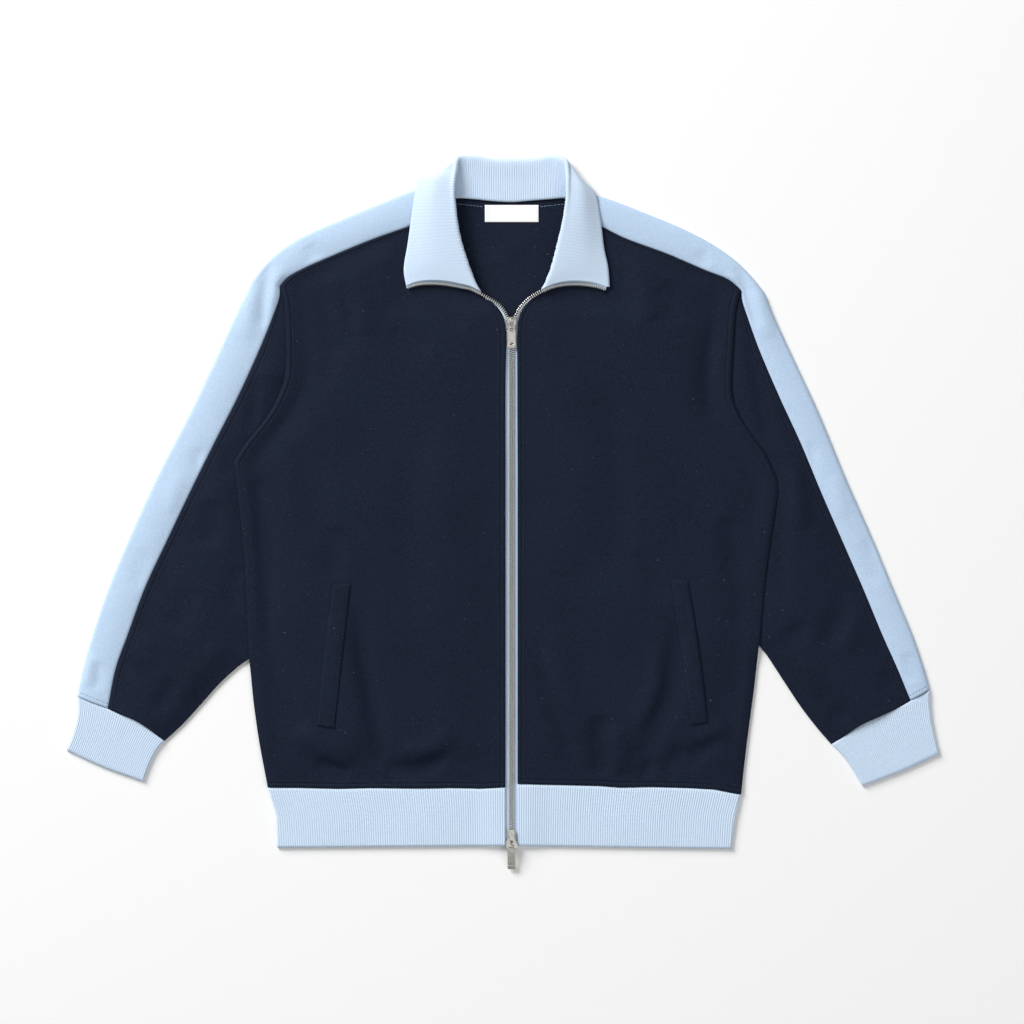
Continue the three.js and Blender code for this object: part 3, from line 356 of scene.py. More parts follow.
back_dips = back_dips + bell(back_rows * ROW_LENGTH - HEM_STITCH, 0.7)[:, None]
back_dips = np.concatenate([back_dips, 0 * back_press[-len(neck_steps):]])
back_top = np.dstack([back_plan, KNIT + back_rise + 0.3 * np.minimum(back_press, 0)])
back_under = np.dstack([back_plan, FLOOR_GAP + np.maximum(back_rise - 0.25, 0) + 0.4 * back_dips])
back_cloth = wall("back_cloth", back_top, back_under, back_plan)
dress(back_cloth, navy_knit, "body_knit", "root", "back_panel")

# Fronts: two panels of the same navy knit from the zip to the side, armhole and shoulder. They lie on
# the back, stand a little higher beside the zip and roll over the sleeves at the armholes.
# Legs of a front's opening edge as (rows, points): up to the armpit, beside the zip, round the neck
OPENING = {
    "right": [
        (16, [(-6.3, -300.8), (-6.3, 34)]),
        (10, [(-6.3, 34), (-6.3, 126), (-5.6, 173), (-7.4, 188), (-11.8, 197), (-18.5, 206), (-26.5, 212),
              (-34, 217)]),
        (7, [(-34, 217), (-52, 229), (-66, 247), (-73, 270), (-74, 286), (-72, 298)]),
    ],
    "left": [
        (16, [(6.3, -297.4), (6.3, 34)]),
        (10, [(6.3, 34), (6, 126), (6.2, 173), (7.2, 189), (11, 199.5), (14.5, 204.5), (20, 210), (28, 216),
              (34.5, 219)]),
        (7, [(34.5, 219), (52, 229), (66, 247), (72, 270), (73, 286), (71, 297)]),
    ],
}
FRONT_TOP = 3.8
ZIP_RISE = 1.6             # how much the fronts rise beside the zip
FRONT_PUFF = 3.2           # how much air under it lifts a front's middle
CREASE_DEPTH = 3.6         # makes the creases of the tables as deep as they look
MOST_CREASED = 3.2         # a crease sinks or rises less than this
LOWEST_FRONT = 2.7
ABOVE_BACK = 1.45          # underside of the fronts where they lie on the back
ZIP_STITCH = 5
NEAR_ZIP = [0, 0.5, 1.2, 2.4, 3.6, 4.4, 5, 5.6, 6.4, 8, 10.5]
ZIP_STITCH_COLUMN = 6
# Height of a front's rim by row: at its edge, 3.5 mm inside and on the crest 9 mm inside
RIM_ROWS = [0, 1, 6, 7, 16, 21, 25, 28, 33]
RIM_EDGE = [3.6, 2.75, 2.75, 5.2, 5.3, 5.3, 5.3, 3.6, 3.4]
RIM_INSIDE = [4.3, 3.9, 4, 5.6, 6.3, 6.4, 6, 3.9, 3.5]
RIM_CREST = [4.4, 4.5, 4.8, 5.6, 6.2, 6.2, 5.6, 4, 3.6]
FRONT_CREASES = {
    "right": [
        (9, -1.3, [(-163, -111), (-151, -185), (-138, -256), (-138, -284)]),
        (14, 0.8, [(-183, -120), (-172, -190), (-160, -262)]),
        (8, -1.2, [(-132, -280), (-100, -284), (-66, -268)]),
        (9, 0.9, [(-120, -262), (-88, -262), (-60, -244)]),
        (11, -0.9, [(-187, -28), (-188, -84)]),
        (10, 1.4, [(-226, -240), (-195, -260), (-164, -274)]),
        (8, -0.9, [(-204, -272), (-186, -284), (-170, -290)]),
        (11, -1.0, [(-262, 30), (-262, -60), (-258, -160)]),
        (12, -0.6, [(-196, 246), (-192, 180), (-188, 116)]),
        (12, 0.7, [(-168, 236), (-157, 205), (-152, 172)]),
        (16, -0.4, [(-128, 178), (-107, 164), (-84, 156)]),
        (13, -0.6, [(-118, 206), (-80, 200), (-46, 180)]),
        (12, -0.5, [(-172, 232), (-170, 196), (-176, 150)]),
        (8, -0.9, [(-274, 20), (-274, -18)]),
        (22, 0.6, [(-60, 120), (-70, 0), (-52, -120)]),
        (18, -0.5, [(-96, 80), (-110, -30), (-98, -120)]),
        (14, -0.6, [(-224, 60), (-206, 10), (-204, -50)]),
    ],
    "left": [
        (9, -1.2, [(21, -136), (34, -194), (61, -256), (66, -280)]),
        (12, 0.7, [(44, -130), (58, -196), (82, -250)]),
        (9, -1.4, [(92, -226), (96, -290)]),
        (10, 0.8, [(112, -236), (114, -288)]),
        (10, -1.3, [(173, -126), (170, -194), (154, -234), (134, -276)]),
        (9, 0.7, [(152, -150), (150, -196), (132, -240)]),
        (7, -1.0, [(182, -258), (160, -290)]),
        (6, -0.8, [(149, -272), (138, -292)]),
        (8, -1.1, [(219, -246), (178, -282)]),
        (9, 0.8, [(226, -232), (196, -258)]),
        (11, -1.0, [(224, -18), (231, -50), (235, -88)]),
        (12, -0.5, [(134, -50), (162, -106)]),
        (15, -0.45, [(96, 226), (116, 208), (136, 192)]),
        (15, -0.45, [(156, 226), (166, 206), (174, 182)]),
        (15, 0.3, [(130, 220), (150, 188)]),
        (9, -0.8, [(216, 190), (206, 130), (212, 80)]),
        (20, 0.6, [(60, 140), (74, 30), (60, -80)]),
        (16, -0.5, [(104, 110), (116, 0), (106, -90)]),
    ],
}


def front_lift(x):
    """Share of the rise of the cloth beside the zip."""
    return 1 - ease(np.abs(x), 13, 42)


def folds(x, y, creases):
    """Height of creases where the cloth lies loose, with the deepest ones held back."""
    return MOST_CREASED * np.tanh(CREASE_DEPTH * creased(x, y, creases) / MOST_CREASED)


front_rows = rows_from(NEAR_HEM, ROW_LENGTH, 0, NECK_ROW, 0.135)
front_tops = {}
for side in SIDES:
    opening = along(OPENING[side], front_rows)
    body = along(BODY_OUTLINE[side], front_rows)
    width = np.linalg.norm(body - opening, axis=1)
    share, squeeze = shares(width, NEAR_ZIP, NEAR_SEAM, 66)
    plan = mix(opening[:, None], body[:, None], share[..., None])
    plan[..., 1] += meet_hem(plan[0]) * np.clip(1 - front_rows / 3, 0, 1)[:, None]
    x, y = plan[..., 0], plan[..., 1]
    from_zip = share * width[:, None] / squeeze
    from_seam = (1 - share) * width[:, None] / squeeze
    free = FRONT_TOP + 0.4 * np.clip(1 - front_rows / 2, 0, 1)[:, None] + ZIP_RISE * front_lift(x)
    loose = FRONT_PUFF * ease(np.minimum(from_seam, front_rows[:, None] * ROW_LENGTH), 8, 60)
    loose = loose + folds(x, y, FRONT_CREASES[side]) + uneven(x, y, 110, 1)
    under_collar = ease(y, 190, 212) * (1 - ease(np.abs(x), 112, 140))
    free = free + loose * (1 - 0.8 * front_lift(x)) * (1 - 0.95 * under_collar)
    edge, inside, crest = (np.interp(front_rows, RIM_ROWS, heights)[:, None]
                           for heights in (RIM_EDGE, RIM_INSIDE, RIM_CREST))
    bank = mix(mix(edge, inside, ease(from_seam, 0, 3.5)), crest, ease(from_seam, 3.5, 9))
    height = np.maximum(mix(bank, free, ease(from_seam, 8, 26)), LOWEST_FRONT)
    seamed = ease(front_rows, ARMPIT_ROW - 0.4, ARMPIT_ROW + 0.4)[:, None]
    height = height + pressed_seam(from_seam) * seamed
    height = height + pressed_seam(from_zip, ZIP_STITCH)
    height = height + pressed_seam(front_rows * ROW_LENGTH, HEM_STITCH)[:, None]
    top = np.dstack([plan, height])
    front_tops[side] = top
    under = np.dstack([plan, np.maximum(height - KNIT, ABOVE_BACK)])
    front_cloth = wall(f"front_cloth_{side}", top, under, plan)
    dress(front_cloth, navy_knit, "body_knit", "root", f"front_{side}")

# Sleeves: a face and a back of navy knit, sewn to the stripe along the arm and folded at the underarm.
# The face runs in under the body's edge at the armhole and the side.
SLEEVE_SEAM = {
    "right": [(-243, 224.5), (-243.5, 214), (-250.5, 193), (-264, 159.5), (-287, 109), (-312.5, 59),
              (-337.5, 8.5), (-361.5, -42), (-385, -92.5), (-403.5, -143), (-415.5, -176.5), (-424, -219)],
    "left": [(241, 220.5), (242, 210), (247.5, 193), (259.5, 159.5), (281, 109), (304, 59), (325, 8.5),
             (347, -42), (369, -92.5), (390, -143), (405, -176.5), (419, -210.5)],
}
UNDERARM = {
    "right": [(-275.5, -165), (-304, -190), (-329, -217.5), (-346, -236), (-364.5, -253)],
    "left": [(260, -150), (278.5, -178.5), (291.5, -198.5), (305, -218.5), (322, -240.5), (336, -256.5)],
}
CUFF_SEAM = {
    "right": [(-456, -206.5), (-440, -212.5), (-424, -219), (-410, -225), (-397, -230), (-384, -238),
              (-364.5, -253)],
    "left": [(439.5, -199), (429, -205), (419, -210.5), (402, -219.5), (387, -226.5), (367, -235.5),
             (348.5, -248), (336, -256.5)],
}
SLEEVE_CREASES = {
    "right": [
        (7, 1.0, [(-266, 143), (-252, 132), (-238, 124)]),
        (7, -1.3, [(-272, 126), (-271, 98), (-276, 68)]),
        (12, -1.0, [(-316, 0), (-316, -50)]),
        (9, -0.9, [(-289, -70), (-292, -120)]),
        (14, 1.2, [(-384, -140), (-398, -172)]),
        (9, -0.8, [(-352, -188), (-374, -226)]),
        (11, 0.9, [(-300, -150), (-330, -186), (-346, -214)]),
        (12, -0.7, [(-336, -90), (-352, -140)]),
        (10, -0.7, [(-288, 60), (-300, 20)]),
    ],
    "left": [
        (9, -0.9, [(250, 176), (262, 110), (272, 56)]),
        (9, -0.9, [(284, 20), (283, -50), (286, -110)]),
        (10, 0.8, [(300, 40), (304, -30)]),
        (11, -1.2, [(352, -88), (345, -120), (330, -155)]),
        (9, -1.0, [(310, -128), (286, -156)]),
        (9, -0.9, [(397, -178), (396, -204)]),
        (8, -0.9, [(332, -226), (354, -226)]),
        (12, 0.8, [(366, -110), (352, -160)]),
        (9, 0.7, [(300, -168), (322, -208)]),
    ],
}
ARMHOLE_ROWS, SIDE_ROWS, UNDERARM_ROWS = 10, 9, 8
SLEEVE_ROWS = ARMHOLE_ROWS + SIDE_ROWS + UNDERARM_ROWS
SLEEVE_ROW_LENGTH = 18
TUCKED_ROW = ARMHOLE_ROWS + SIDE_ROWS
NEAR_FOLD = [0, 0.6, 1.6, 3]
SLEEVE_TOP = 3.2
LOWEST_SLEEVE = 1.95
ABOVE_REAR = 1.27          # underside of the sleeve's face where it lies on the sleeve's back
SLEEVE_PUFF = 3.8
CUFF_STITCH = 3.8
CUFF_STITCH_ROW = -5       # row of the sleeve's face on the stitch line above the cuff
sleeve_rows = SLEEVE_ROWS - rows_from(NEAR_SEAM, SLEEVE_ROW_LENGTH, 0, SLEEVE_ROWS, 0.16)[::-1]
sleeve_tops = {}


def sleeve_plan(side, rows, share_columns, tuck):
    """Plan of a sleeve panel from the stripe seam to the body's edge and underarm, curved at the cuff."""
    body_side, armhole = (points[::-1] for _, points in BODY_OUTLINE[side][1:3])
    edge_legs = [(ARMHOLE_ROWS, armhole), (SIDE_ROWS, body_side), (UNDERARM_ROWS, UNDERARM[side])]
    seam = at(SLEEVE_SEAM[side], rows / SLEEVE_ROWS)
    edge = along(edge_legs, rows)
    inward = np.interp(rows, [0, 2, TUCKED_ROW - 1, TUCKED_ROW + 1, SLEEVE_ROWS], [0.3, tuck, tuck, 0, 0])
    edge[:, 0] -= SIDES[side] * inward
    width = np.maximum(np.linalg.norm(edge - seam, axis=1), 1)
    share, squeeze = shares(width, NEAR_SEAM, NEAR_FOLD, share_columns)
    plan = mix(seam[:, None], edge[:, None], share[..., None])
    end = at(CUFF_SEAM[side][2:], share[-1])
    near = np.clip((rows - SLEEVE_ROWS + 3) / 3, 0, 1)[:, None, None]
    plan = plan + near * (end - plan[-1])
    return plan, share, width, squeeze


for side in SIDES:
    plan, share, width, squeeze = sleeve_plan(side, sleeve_rows, 22, 4)
    x, y = plan[..., 0], plan[..., 1]
    from_seam = share * width[:, None] / squeeze
    from_cuff = (SLEEVE_ROWS - sleeve_rows[:, None]) * SLEEVE_ROW_LENGTH
    belly = np.minimum(width / 60, 1)[:, None] * np.sin(math.pi * share)
    folded = ease(sleeve_rows, TUCKED_ROW, TUCKED_ROW + 1)[:, None] * ease(share, 0.8, 1)
    loose = folds(x, y, SLEEVE_CREASES[side]) + uneven(x, y, 90, 0.6)
    height = SLEEVE_TOP + belly * np.maximum(SLEEVE_PUFF + loose, -0.6) - 0.7 * folded
    height = height + pressed_seam(from_seam) + pressed_seam(from_cuff, CUFF_STITCH)
    height = np.maximum(height, LOWEST_SLEEVE)
    sleeve_tops[side] = np.dstack([plan, height])
    under = np.dstack([plan, np.maximum(height - KNIT, ABOVE_REAR)])
    sleeve_face = wall(f"sleeve_face_{side}", sleeve_tops[side], under, plan)
    dress(sleeve_face, navy_knit, "body_knit", "root", f"sleeve_front_{side}")
    plan = sleeve_plan(side, sleeve_rows[::2], 12, -0.35)[0]
    top, under = (np.dstack([plan, np.full(plan.shape[:2], height)]) for height in (KNIT, 0.02))
    sleeve_rear = wall(f"sleeve_rear_{side}", top, under, plan)
    dress(sleeve_rear, navy_knit, "body_knit", "root", f"sleeve_back_{side}")

# Stripes: one strip of sky-blue interlock a side, from the collar over the shoulder and down the sleeve
# to the cuff. It wraps the outer fold, so half of it shows and half lies on the floor.
STRIPE_FOLD = {
    "right": [
        (7, [(-84, 331), (-101, 326), (-145.5, 308.5), (-185.5, 292), (-223, 275), (-247.5, 258.5),
             (-264, 241.5), (-272, 231)]),
        (27, [(-272, 231), (-290.5, 193), (-313.5, 143), (-337.5, 92.5), (-372, 25), (-402.5, -42),
              (-423.5, -92.5), (-440.5, -143), (-450, -176.5), (-456, -206.5)]),
    ],
    "left": [
        (7, [(80, 322), (102.5, 316), (142.5, 300.5), (183, 283.5), (214.5, 266.5), (237, 250),
             (253.5, 233), (260, 225)]),
        (27, [(260, 225), (266, 216.5), (275.5, 193), (298.5, 143), (322, 92.5), (350, 25), (379.5, -42),
              (400.5, -92.5), (421.5, -143), (433, -176.5), (439.5, -199)]),
    ],
}
STRIPE_TOP = 3.2
STRIPE_BEND = STRIPE_TOP / 2
STRIPE_BELLY = 2
SHOULDER_ROWS = 7
STRIPE_STITCH_ROW = -3     # row of the stripe on the stitch line above the cuff
STRIPE_COLUMNS = [0, 0.6, 1.4, 2.6, 4.5, 7, 10, 13.5]
STRIPE_WIDTH = 60
STRIPE_CREASES = {
    "right": [
        (7, -1.5, [(-254, 250), (-259, 215), (-262, 178)]),
        (9, 1.1, [(-244, 246), (-248, 214), (-253, 186)]),
        (9, 0.8, [(-272, 226), (-276, 196), (-280, 168)]),
        (8, -0.7, [(-214, 268), (-206, 252)]),
        (6, -0.9, [(-434, -170), (-434, -200)]),
        (8, 0.7, [(-444, -160), (-446, -196)]),
        (8, -0.8, [(-330, 56), (-322, 18)]),
        (10, -0.6, [(-384, -50), (-398, -96)]),
        (9, 0.6, [(-348, 30), (-360, -16)]),
    ],
    "left": [
        (7, -1.5, [(238, 246), (247, 214), (258, 180)]),
        (9, 1.1, [(230, 240), (238, 214), (246, 186)]),
        (9, 0.8, [(256, 222), (264, 196), (272, 170)]),
        (8, -0.7, [(196, 262), (206, 246)]),
        (8, -0.7, [(414, -160), (422, -192)]),
        (8, -0.7, [(316, 62), (312, 24)]),
        (10, -0.6, [(372, -40), (384, -90)]),
        (9, 0.6, [(338, 26), (350, -20)]),
    ],
}
# The same double knit in sky blue: paler, and its wales catch more light than the navy's
sky_knit = knit_finish("Sky polyester interlock", "#C4D9EF", "#AAC2DD", 0.0013, 0.0013, 0.0018, 0.03, 0.85)
stripe_ends = {}
stripe_rows = np.linspace(0, SHOULDER_ROWS + SLEEVE_ROWS, 239)
near = np.array(STRIPE_COLUMNS) / STRIPE_WIDTH
stripe_share = np.concatenate([near, np.linspace(near[-1], 1, 12)[1:]])[None]
turn = np.radians(np.linspace(90, -90, 9))[None, 1:-1]
for side in SIDES:
    shoulder = BODY_OUTLINE[side][3][1][::-1]
    seam = along([(SHOULDER_ROWS, shoulder), (SLEEVE_ROWS, SLEEVE_SEAM[side])], stripe_rows)
    fold = along(STRIPE_FOLD[side], stripe_rows)
    reach = np.linalg.norm(fold - seam, axis=1)[:, None]
    upper = mix(SEAM_GAP, reach - STRIPE_BEND, stripe_share)
    under = upper[:, ::-2]
    bends = (STRIPE_BEND, STRIPE_BEND - KNIT)
    distance, inside = (np.hstack([upper, reach - STRIPE_BEND + r * np.cos(turn), under]) for r in bends)
    x, y = [mix(seam[:, k:k + 1], fold[:, k:k + 1], upper / reach) for k in range(2)]
    crown = STRIPE_BELLY * np.sin(math.pi * np.clip(upper / reach, 0, 1)) ** 0.7
    loose = 1.6 * creased(x, y, STRIPE_CREASES[side]) + uneven(x, y, 80, 0.3)
    loose = loose * ease(upper / reach, 0, 0.25) * (1 - ease(upper / reach, 0.8, 1))
    top = STRIPE_TOP + np.maximum(crown + loose, -0.65)
    round_up, round_in = (STRIPE_BEND + r * np.sin(turn) + 0 * reach for r in bends)
    heights = np.hstack([top - 0.5 * bell(upper - SEAM_GAP, 0.9), round_up, 0 * under + FLOOR_GAP])
    inner_heights = np.hstack([top - KNIT, round_in, 0 * under + KNIT])
    outer, inner = (np.dstack([mix(seam[:, None], fold[:, None], (across / reach)[..., None]), z])
                    for across, z in ((distance, heights), (inside, inner_heights)))
    run = run_along(fold)[:, None]
    steps = np.linalg.norm(np.diff(outer, axis=1), axis=2)
    girth = np.cumsum(np.hstack([0 * reach, steps]), axis=1)
    stripe_ends[side] = outer[STRIPE_STITCH_ROW, 1:upper.shape[1]]
    stripe_cloth = wall(f"stripe_cloth_{side}", outer, inner, np.dstack([girth, run + 0 * girth]))
    dress(stripe_cloth, sky_knit, "stripe_knit", "root", f"stripe_{side}")

# Rib knit: cuffs, hem band and collar are 1x1 ribs of the same sky-blue yarn, 2.45 mm from rib to rib.
# Each cuff is a tube pressed flat, sewn to the sleeve and gathered by it.
RIBBED = 1.8               # thickness of the rib knit without its ribs
RIB_HEIGHT = 0.45
RIB_PITCH = 2.45
RIB_STEPS = 6              # points across one rib
BAND_TOP = 4
LAYER_GAP = 0.1            # opens the hollow between a band's two layers a little
CUFF_LENGTH = 58
CUFF_STEPS = [0, 0.008, 0.02, *np.linspace(0.05, 0.95, 13), 0.975, 0.99, 1]
CUFF_MIDDLE = {"right": [(-457, -232), (-376, -268)], "left": [(441, -228), (352, -274)]}
WRIST = {
    "right": [(-468, -263), (-430, -280.5), (-387, -296)],
    "left": [(449.5, -267), (412, -284.5), (368.5, -301)],
}


def rib_finish(name, face, shade):
    """Rib knit: the ribs are in the mesh, and the finish adds their loops and the shade between them."""
    finish, tree = new_finish(name)
    cloth = add(tree, "UVMap", {}, uv_map="cloth").outputs["UV"]
    place = add(tree, "TexCoord", {}).outputs["Object"]
    ribs = add(tree, "TexWave", {"Vector": cloth, "Scale": band_scale(RIB_PITCH * MM),
               "Phase Offset": -math.pi / 2}, bands_direction="X").outputs["Fac"]
    loops = add(tree, "TexWave", {"Vector": cloth, "Scale": band_scale(0.0014), "Distortion": 0.6,
                "Detail Scale": 2}, bands_direction="Y").outputs["Fac"]
    grain = add(tree, "TexNoise", {"Vector": place, "Scale": 600, "Detail": 3,
                "Roughness": 0.6}).outputs["Fac"]
    # The ribs' wave paints shade into the valleys between the ribs; grain and loops are the yarn's own tone
    tone = 0.1
    for layer, part in ((grain, 0.6), (ribs, 0.22), (loops, 0.12)):
        tone = add(tree, "Math", {0: layer, 1: part, 2: tone}, operation="MULTIPLY_ADD").outputs[0]
    colour = add(tree, "Mix", {0: tone, 6: linear(shade), 7: linear(face)},
                 data_type="RGBA").outputs[2]
    relief = add(tree, "Math", {0: grain, 1: 0.6, 2: loops}, operation="MULTIPLY_ADD").outputs[0]
    bump = add(tree, "Bump", {"Height": relief, "Strength": 0.4, "Distance": 0.00015}).outputs[0]
    shader = add(tree, "BsdfPrincipled", {"Base Color": colour, "Roughness": 0.88, "IOR": 1.46,
                 "Sheen Weight": 0.06, "Sheen Roughness": 0.4, "Normal": bump})
    add(tree, "OutputMaterial", {"Surface": shader.outputs[0]})
    return finish


# Polyester rib, sky blue: bright on the ribs, with painted shade that makes the valleys between them a little
# darker
sky_rib = rib_finish("Sky polyester rib knit", "#D3E3F4", "#B5CBE4")


def rib_wave(count):
    """Height of the ribs at each point round a band of that many ribs."""
    return 0.5 - 0.5 * np.cos(2 * math.pi * np.arange(count * RIB_STEPS + 1) / RIB_STEPS)


def even_ring(ring, count):
    """Points evenly spaced round a ring of (across, height) pairs, closed."""
    run = run_along(ring)
    return spots_on(ring, run, np.linspace(0, run[-1], count))


def outward(ahead, behind):
    """Directions square to a ring, from the points ahead of and behind each of its points."""
    run = ahead - behind
    out = np.stack([-run[:, 1], run[:, 0]], -1)
    return out / np.linalg.norm(out, axis=1)[:, None]


def rib_chart(count, along_rib):
    """A row of the band's chart: across its ribs, at one place along them."""
    return np.stack([np.arange(count) * RIB_PITCH / RIB_STEPS, np.full(count, along_rib)], -1)


def flat_ring(width, low, high, inset):
    """Outline of a tube pressed flat, as (across, height) pairs, from one fold over the top and back."""
    r = (high - low) / 2
    near, far = inset + r, width - inset - r
    quarters = [(near, 180), (far, 90), (far, 0), (near, -90)]
    turns = [(middle, np.radians(np.linspace(start, start - 90, 7))) for middle, start in quarters]
    arcs = [np.stack([middle + r * np.cos(a), low + r + r * np.sin(a)], -1) for middle, a in turns]
    return np.vstack(arcs)


for side in SIDES:
    rims = [np.array(CUFF_SEAM[side]) - [0, 0.3], np.array(CUFF_MIDDLE[side]), np.array(WRIST[side])]
    full = np.linalg.norm(rims[0][-1] - rims[0][0])
    count = int(round((2 * full + 4) / RIB_PITCH))
    wave = rib_wave(count)[:-1]
    lines = [smooth_line(rim) for rim in rims]
    outer, inner, chart = [], [], []
    for step in CUFF_STEPS:
        weights = [(1 - step) * (1 - 2 * step), 4 * step * (1 - step), step * (2 * step - 1)]
        width = sum(w * np.linalg.norm(r[-1] - r[0]) for w, r in zip(weights, rims))
        soft = 1 - 0.35 * bell(step, 0.012) - 0.5 * bell(1 - step, 0.012)

        def place(ring):
            across = np.clip(ring[:, 0] / width, 0, 1)
            spot = sum(w * spots_on(line, run, across * run[-1]) for w, (line, run) in zip(weights, lines))
            beyond = (ring[:, :1] / width - across[:, None]) * (rims[1][-1] - rims[1][0])
            return np.hstack([spot + beyond, ring[:, 1:]])

        base = even_ring(flat_ring(width, RIB_HEIGHT, BAND_TOP * soft, RIB_HEIGHT), len(wave) + 1)[:-1]
        out = outward(np.roll(base, -1, axis=0), np.roll(base, 1, axis=0))
        outer.append(place(base + out * (wave * RIB_HEIGHT * soft)[:, None]))
        hollow = flat_ring(width, RIBBED, BAND_TOP * soft - RIBBED + LAYER_GAP, RIBBED)
        inner.append(place(even_ring(hollow, len(wave) + 1)[:-1]))
        chart.append(rib_chart(len(wave) + 1, step * CUFF_LENGTH))
    cuff_rib = wall(f"cuff_rib_{side}", np.array(outer), np.array(inner), np.array(chart), closed=True)
    dress(cuff_rib, sky_rib, "rib_knit", "root", f"cuff_{side}")

# Hem band: one strip of the same rib round the body, open at the zip. It is pressed flat, lies under
# the fronts' hem and rises over the zip tapes at its two ends.
HEM_SIDES = {"right": [-256, -247, -246.5], "left": [241, 235, 231]}
HEM_END = {"right": -6.6, "left": 6.4}
HEM_FOOT = [(-247, -365.5), (-6, -363.5), (7, -363.5), (135, -365.5), (231, -366.5)]
HEM_RIBS = 400
HEM_LENGTH = 63
HEM_STEPS = [0, 0.006, 0.02, *np.linspace(0.05, 0.95, 11), 0.975, 0.99, 1]
HEM_RISE = 1.7             # how much the band rises over the zip tapes
hem_wave = rib_wave(HEM_RIBS)
outer, inner, chart = [], [], []
for step in HEM_STEPS:
    ends = [np.interp(step, [0, 0.45, 1], HEM_SIDES[side]) for side in SIDES]
    soft = 1 - 0.3 * bell(step, 0.012) - 0.5 * bell(1 - step, 0.012)

    def lay_hem(low, high, inset, count):
        r = (high - low) / 2
        arc = np.radians(np.linspace(90, -90, 13))
        right, left = ends[0] + inset + r, ends[1] - inset - r
        path = [(x, high) for x in np.linspace(HEM_END["right"], right, 60)]
        path += [(right - r * math.cos(a), low + r + r * math.sin(a)) for a in arc]
        path += [(x, low) for x in np.linspace(right, left, 100)[1:-1]]
        path += [(left + r * math.cos(a), low + r + r * math.sin(a)) for a in arc[::-1]]
        path += [(x, high) for x in np.linspace(left, HEM_END["left"], 60)]
        return even_ring(np.array(path), count)

    def place_hem(ring, top):
        x, z = ring.T
        rise = HEM_RISE * front_lift(x) * np.clip(z / top, 0, 1) ** 2
        rise = rise * (np.abs(z - top) < top / 2)
        top_y, foot_y = [np.interp(x, *np.array(line).T) for line in (HEM_SEAM, HEM_FOOT)]
        ripple = 0.25 * np.sin(x / 17) * math.sin(math.pi * step)
        return np.stack([x, mix(top_y, foot_y, step), z + rise + ripple * (z > top / 2)], -1)

    base = lay_hem(RIB_HEIGHT, BAND_TOP * soft, RIB_HEIGHT, len(hem_wave))
    out = outward(np.vstack([base[:1], base[:-1]]), np.vstack([base[1:], base[-1:]]))
    outer.append(place_hem(base + out * (hem_wave * RIB_HEIGHT * soft)[:, None], BAND_TOP * soft))
    hollow_top = BAND_TOP * soft - RIBBED + LAYER_GAP
    inner.append(place_hem(lay_hem(RIBBED, hollow_top, RIBBED, len(hem_wave)), hollow_top))
    chart.append(rib_chart(len(hem_wave), step * HEM_LENGTH))
hem_rib = wall("hem_rib", np.array(outer), np.array(inner), np.array(chart))
dress(hem_rib, sky_rib, "rib_knit", "root", "hem_band")

# Collar: one band of the rib from the back neck seam and the neckline up to the roll and down over
# itself. Its ribs run up the band. It is turned down, with the zip's top ends along its front edges.
ROLL_SPREAD = 1.5          # half the width of the roll
CORNER = 3.5               # stations over which the neck turns from the back to the side
# Stations from the middle of the back: neck seam (x, y, z), roll (x, y, z), how far the fall has swung
# over in degrees, free edge (x, y, z) and how much the fall bulges
COLLAR = {
    "right": [
        (0, 313, 2.7, 0, 357.5, 2.6, 0, 0, 322, 1.6, 0),
        (-20, 314, 2.7, -21, 358, 2.7, 4, -23, 322.5, 1.6, 0),
        (-40, 316, 2.8, -41, 360.8, 3.6, 14, -46, 326, 1.65, 0),
        (-55, 317, 3, -55, 360, 7, 40, -68, 338, 2.2, 1),
        (-66, 316, 3.4, -59.5, 347, 12.5, 70, -86, 339, 3.6, 3),
        (-73, 305, 4.6, -61, 326, 16, 100, -100, 326, 5.6, 3.5),
        (-75, 284, 5.4, -58.5, 300, 15.5, 130, -104.5, 300, 6.6, 3),
        (-72, 262, 5.6, -53.5, 273, 14, 145, -109, 268, 6.8, 2.2),
        (-60, 244, 5.8, -44, 247, 12, 150, -113, 243, 6.8, 1.4),
        (-48, 234, 6.1, -32.6, 231, 10, 150, -110.5, 230, 6.8, 0.8),
    ],
    "left": [
        (0, 313, 2.7, 0, 357.5, 2.6, 0, 0, 322, 1.6, 0),
        (20, 314.5, 2.7, 21, 358, 2.7, 4, 23, 322.5, 1.6, 0),
        (40, 316, 2.8, 41, 360.8, 3.6, 14, 46, 326, 1.65, 0),
        (54, 317, 3, 54, 359, 7, 40, 66, 336, 2.2, 1),
        (64, 316, 3.4, 59.5, 345, 12.5, 70, 79, 331, 3.6, 3),
        (71, 304, 4.6, 59, 324, 16, 100, 88, 321, 5.6, 3.5),
        (74, 284, 5.4, 55.5, 298, 15.5, 130, 93, 297, 6.6, 3),
        (71, 262, 5.6, 49.5, 272, 14, 145, 97, 265, 6.8, 2.2),
        (60, 244, 5.8, 42, 246, 12, 150, 102, 240, 6.8, 1.4),
        (48, 234, 6.1, 32, 230, 10, 150, 103, 227, 6.8, 0.8),
    ],
}
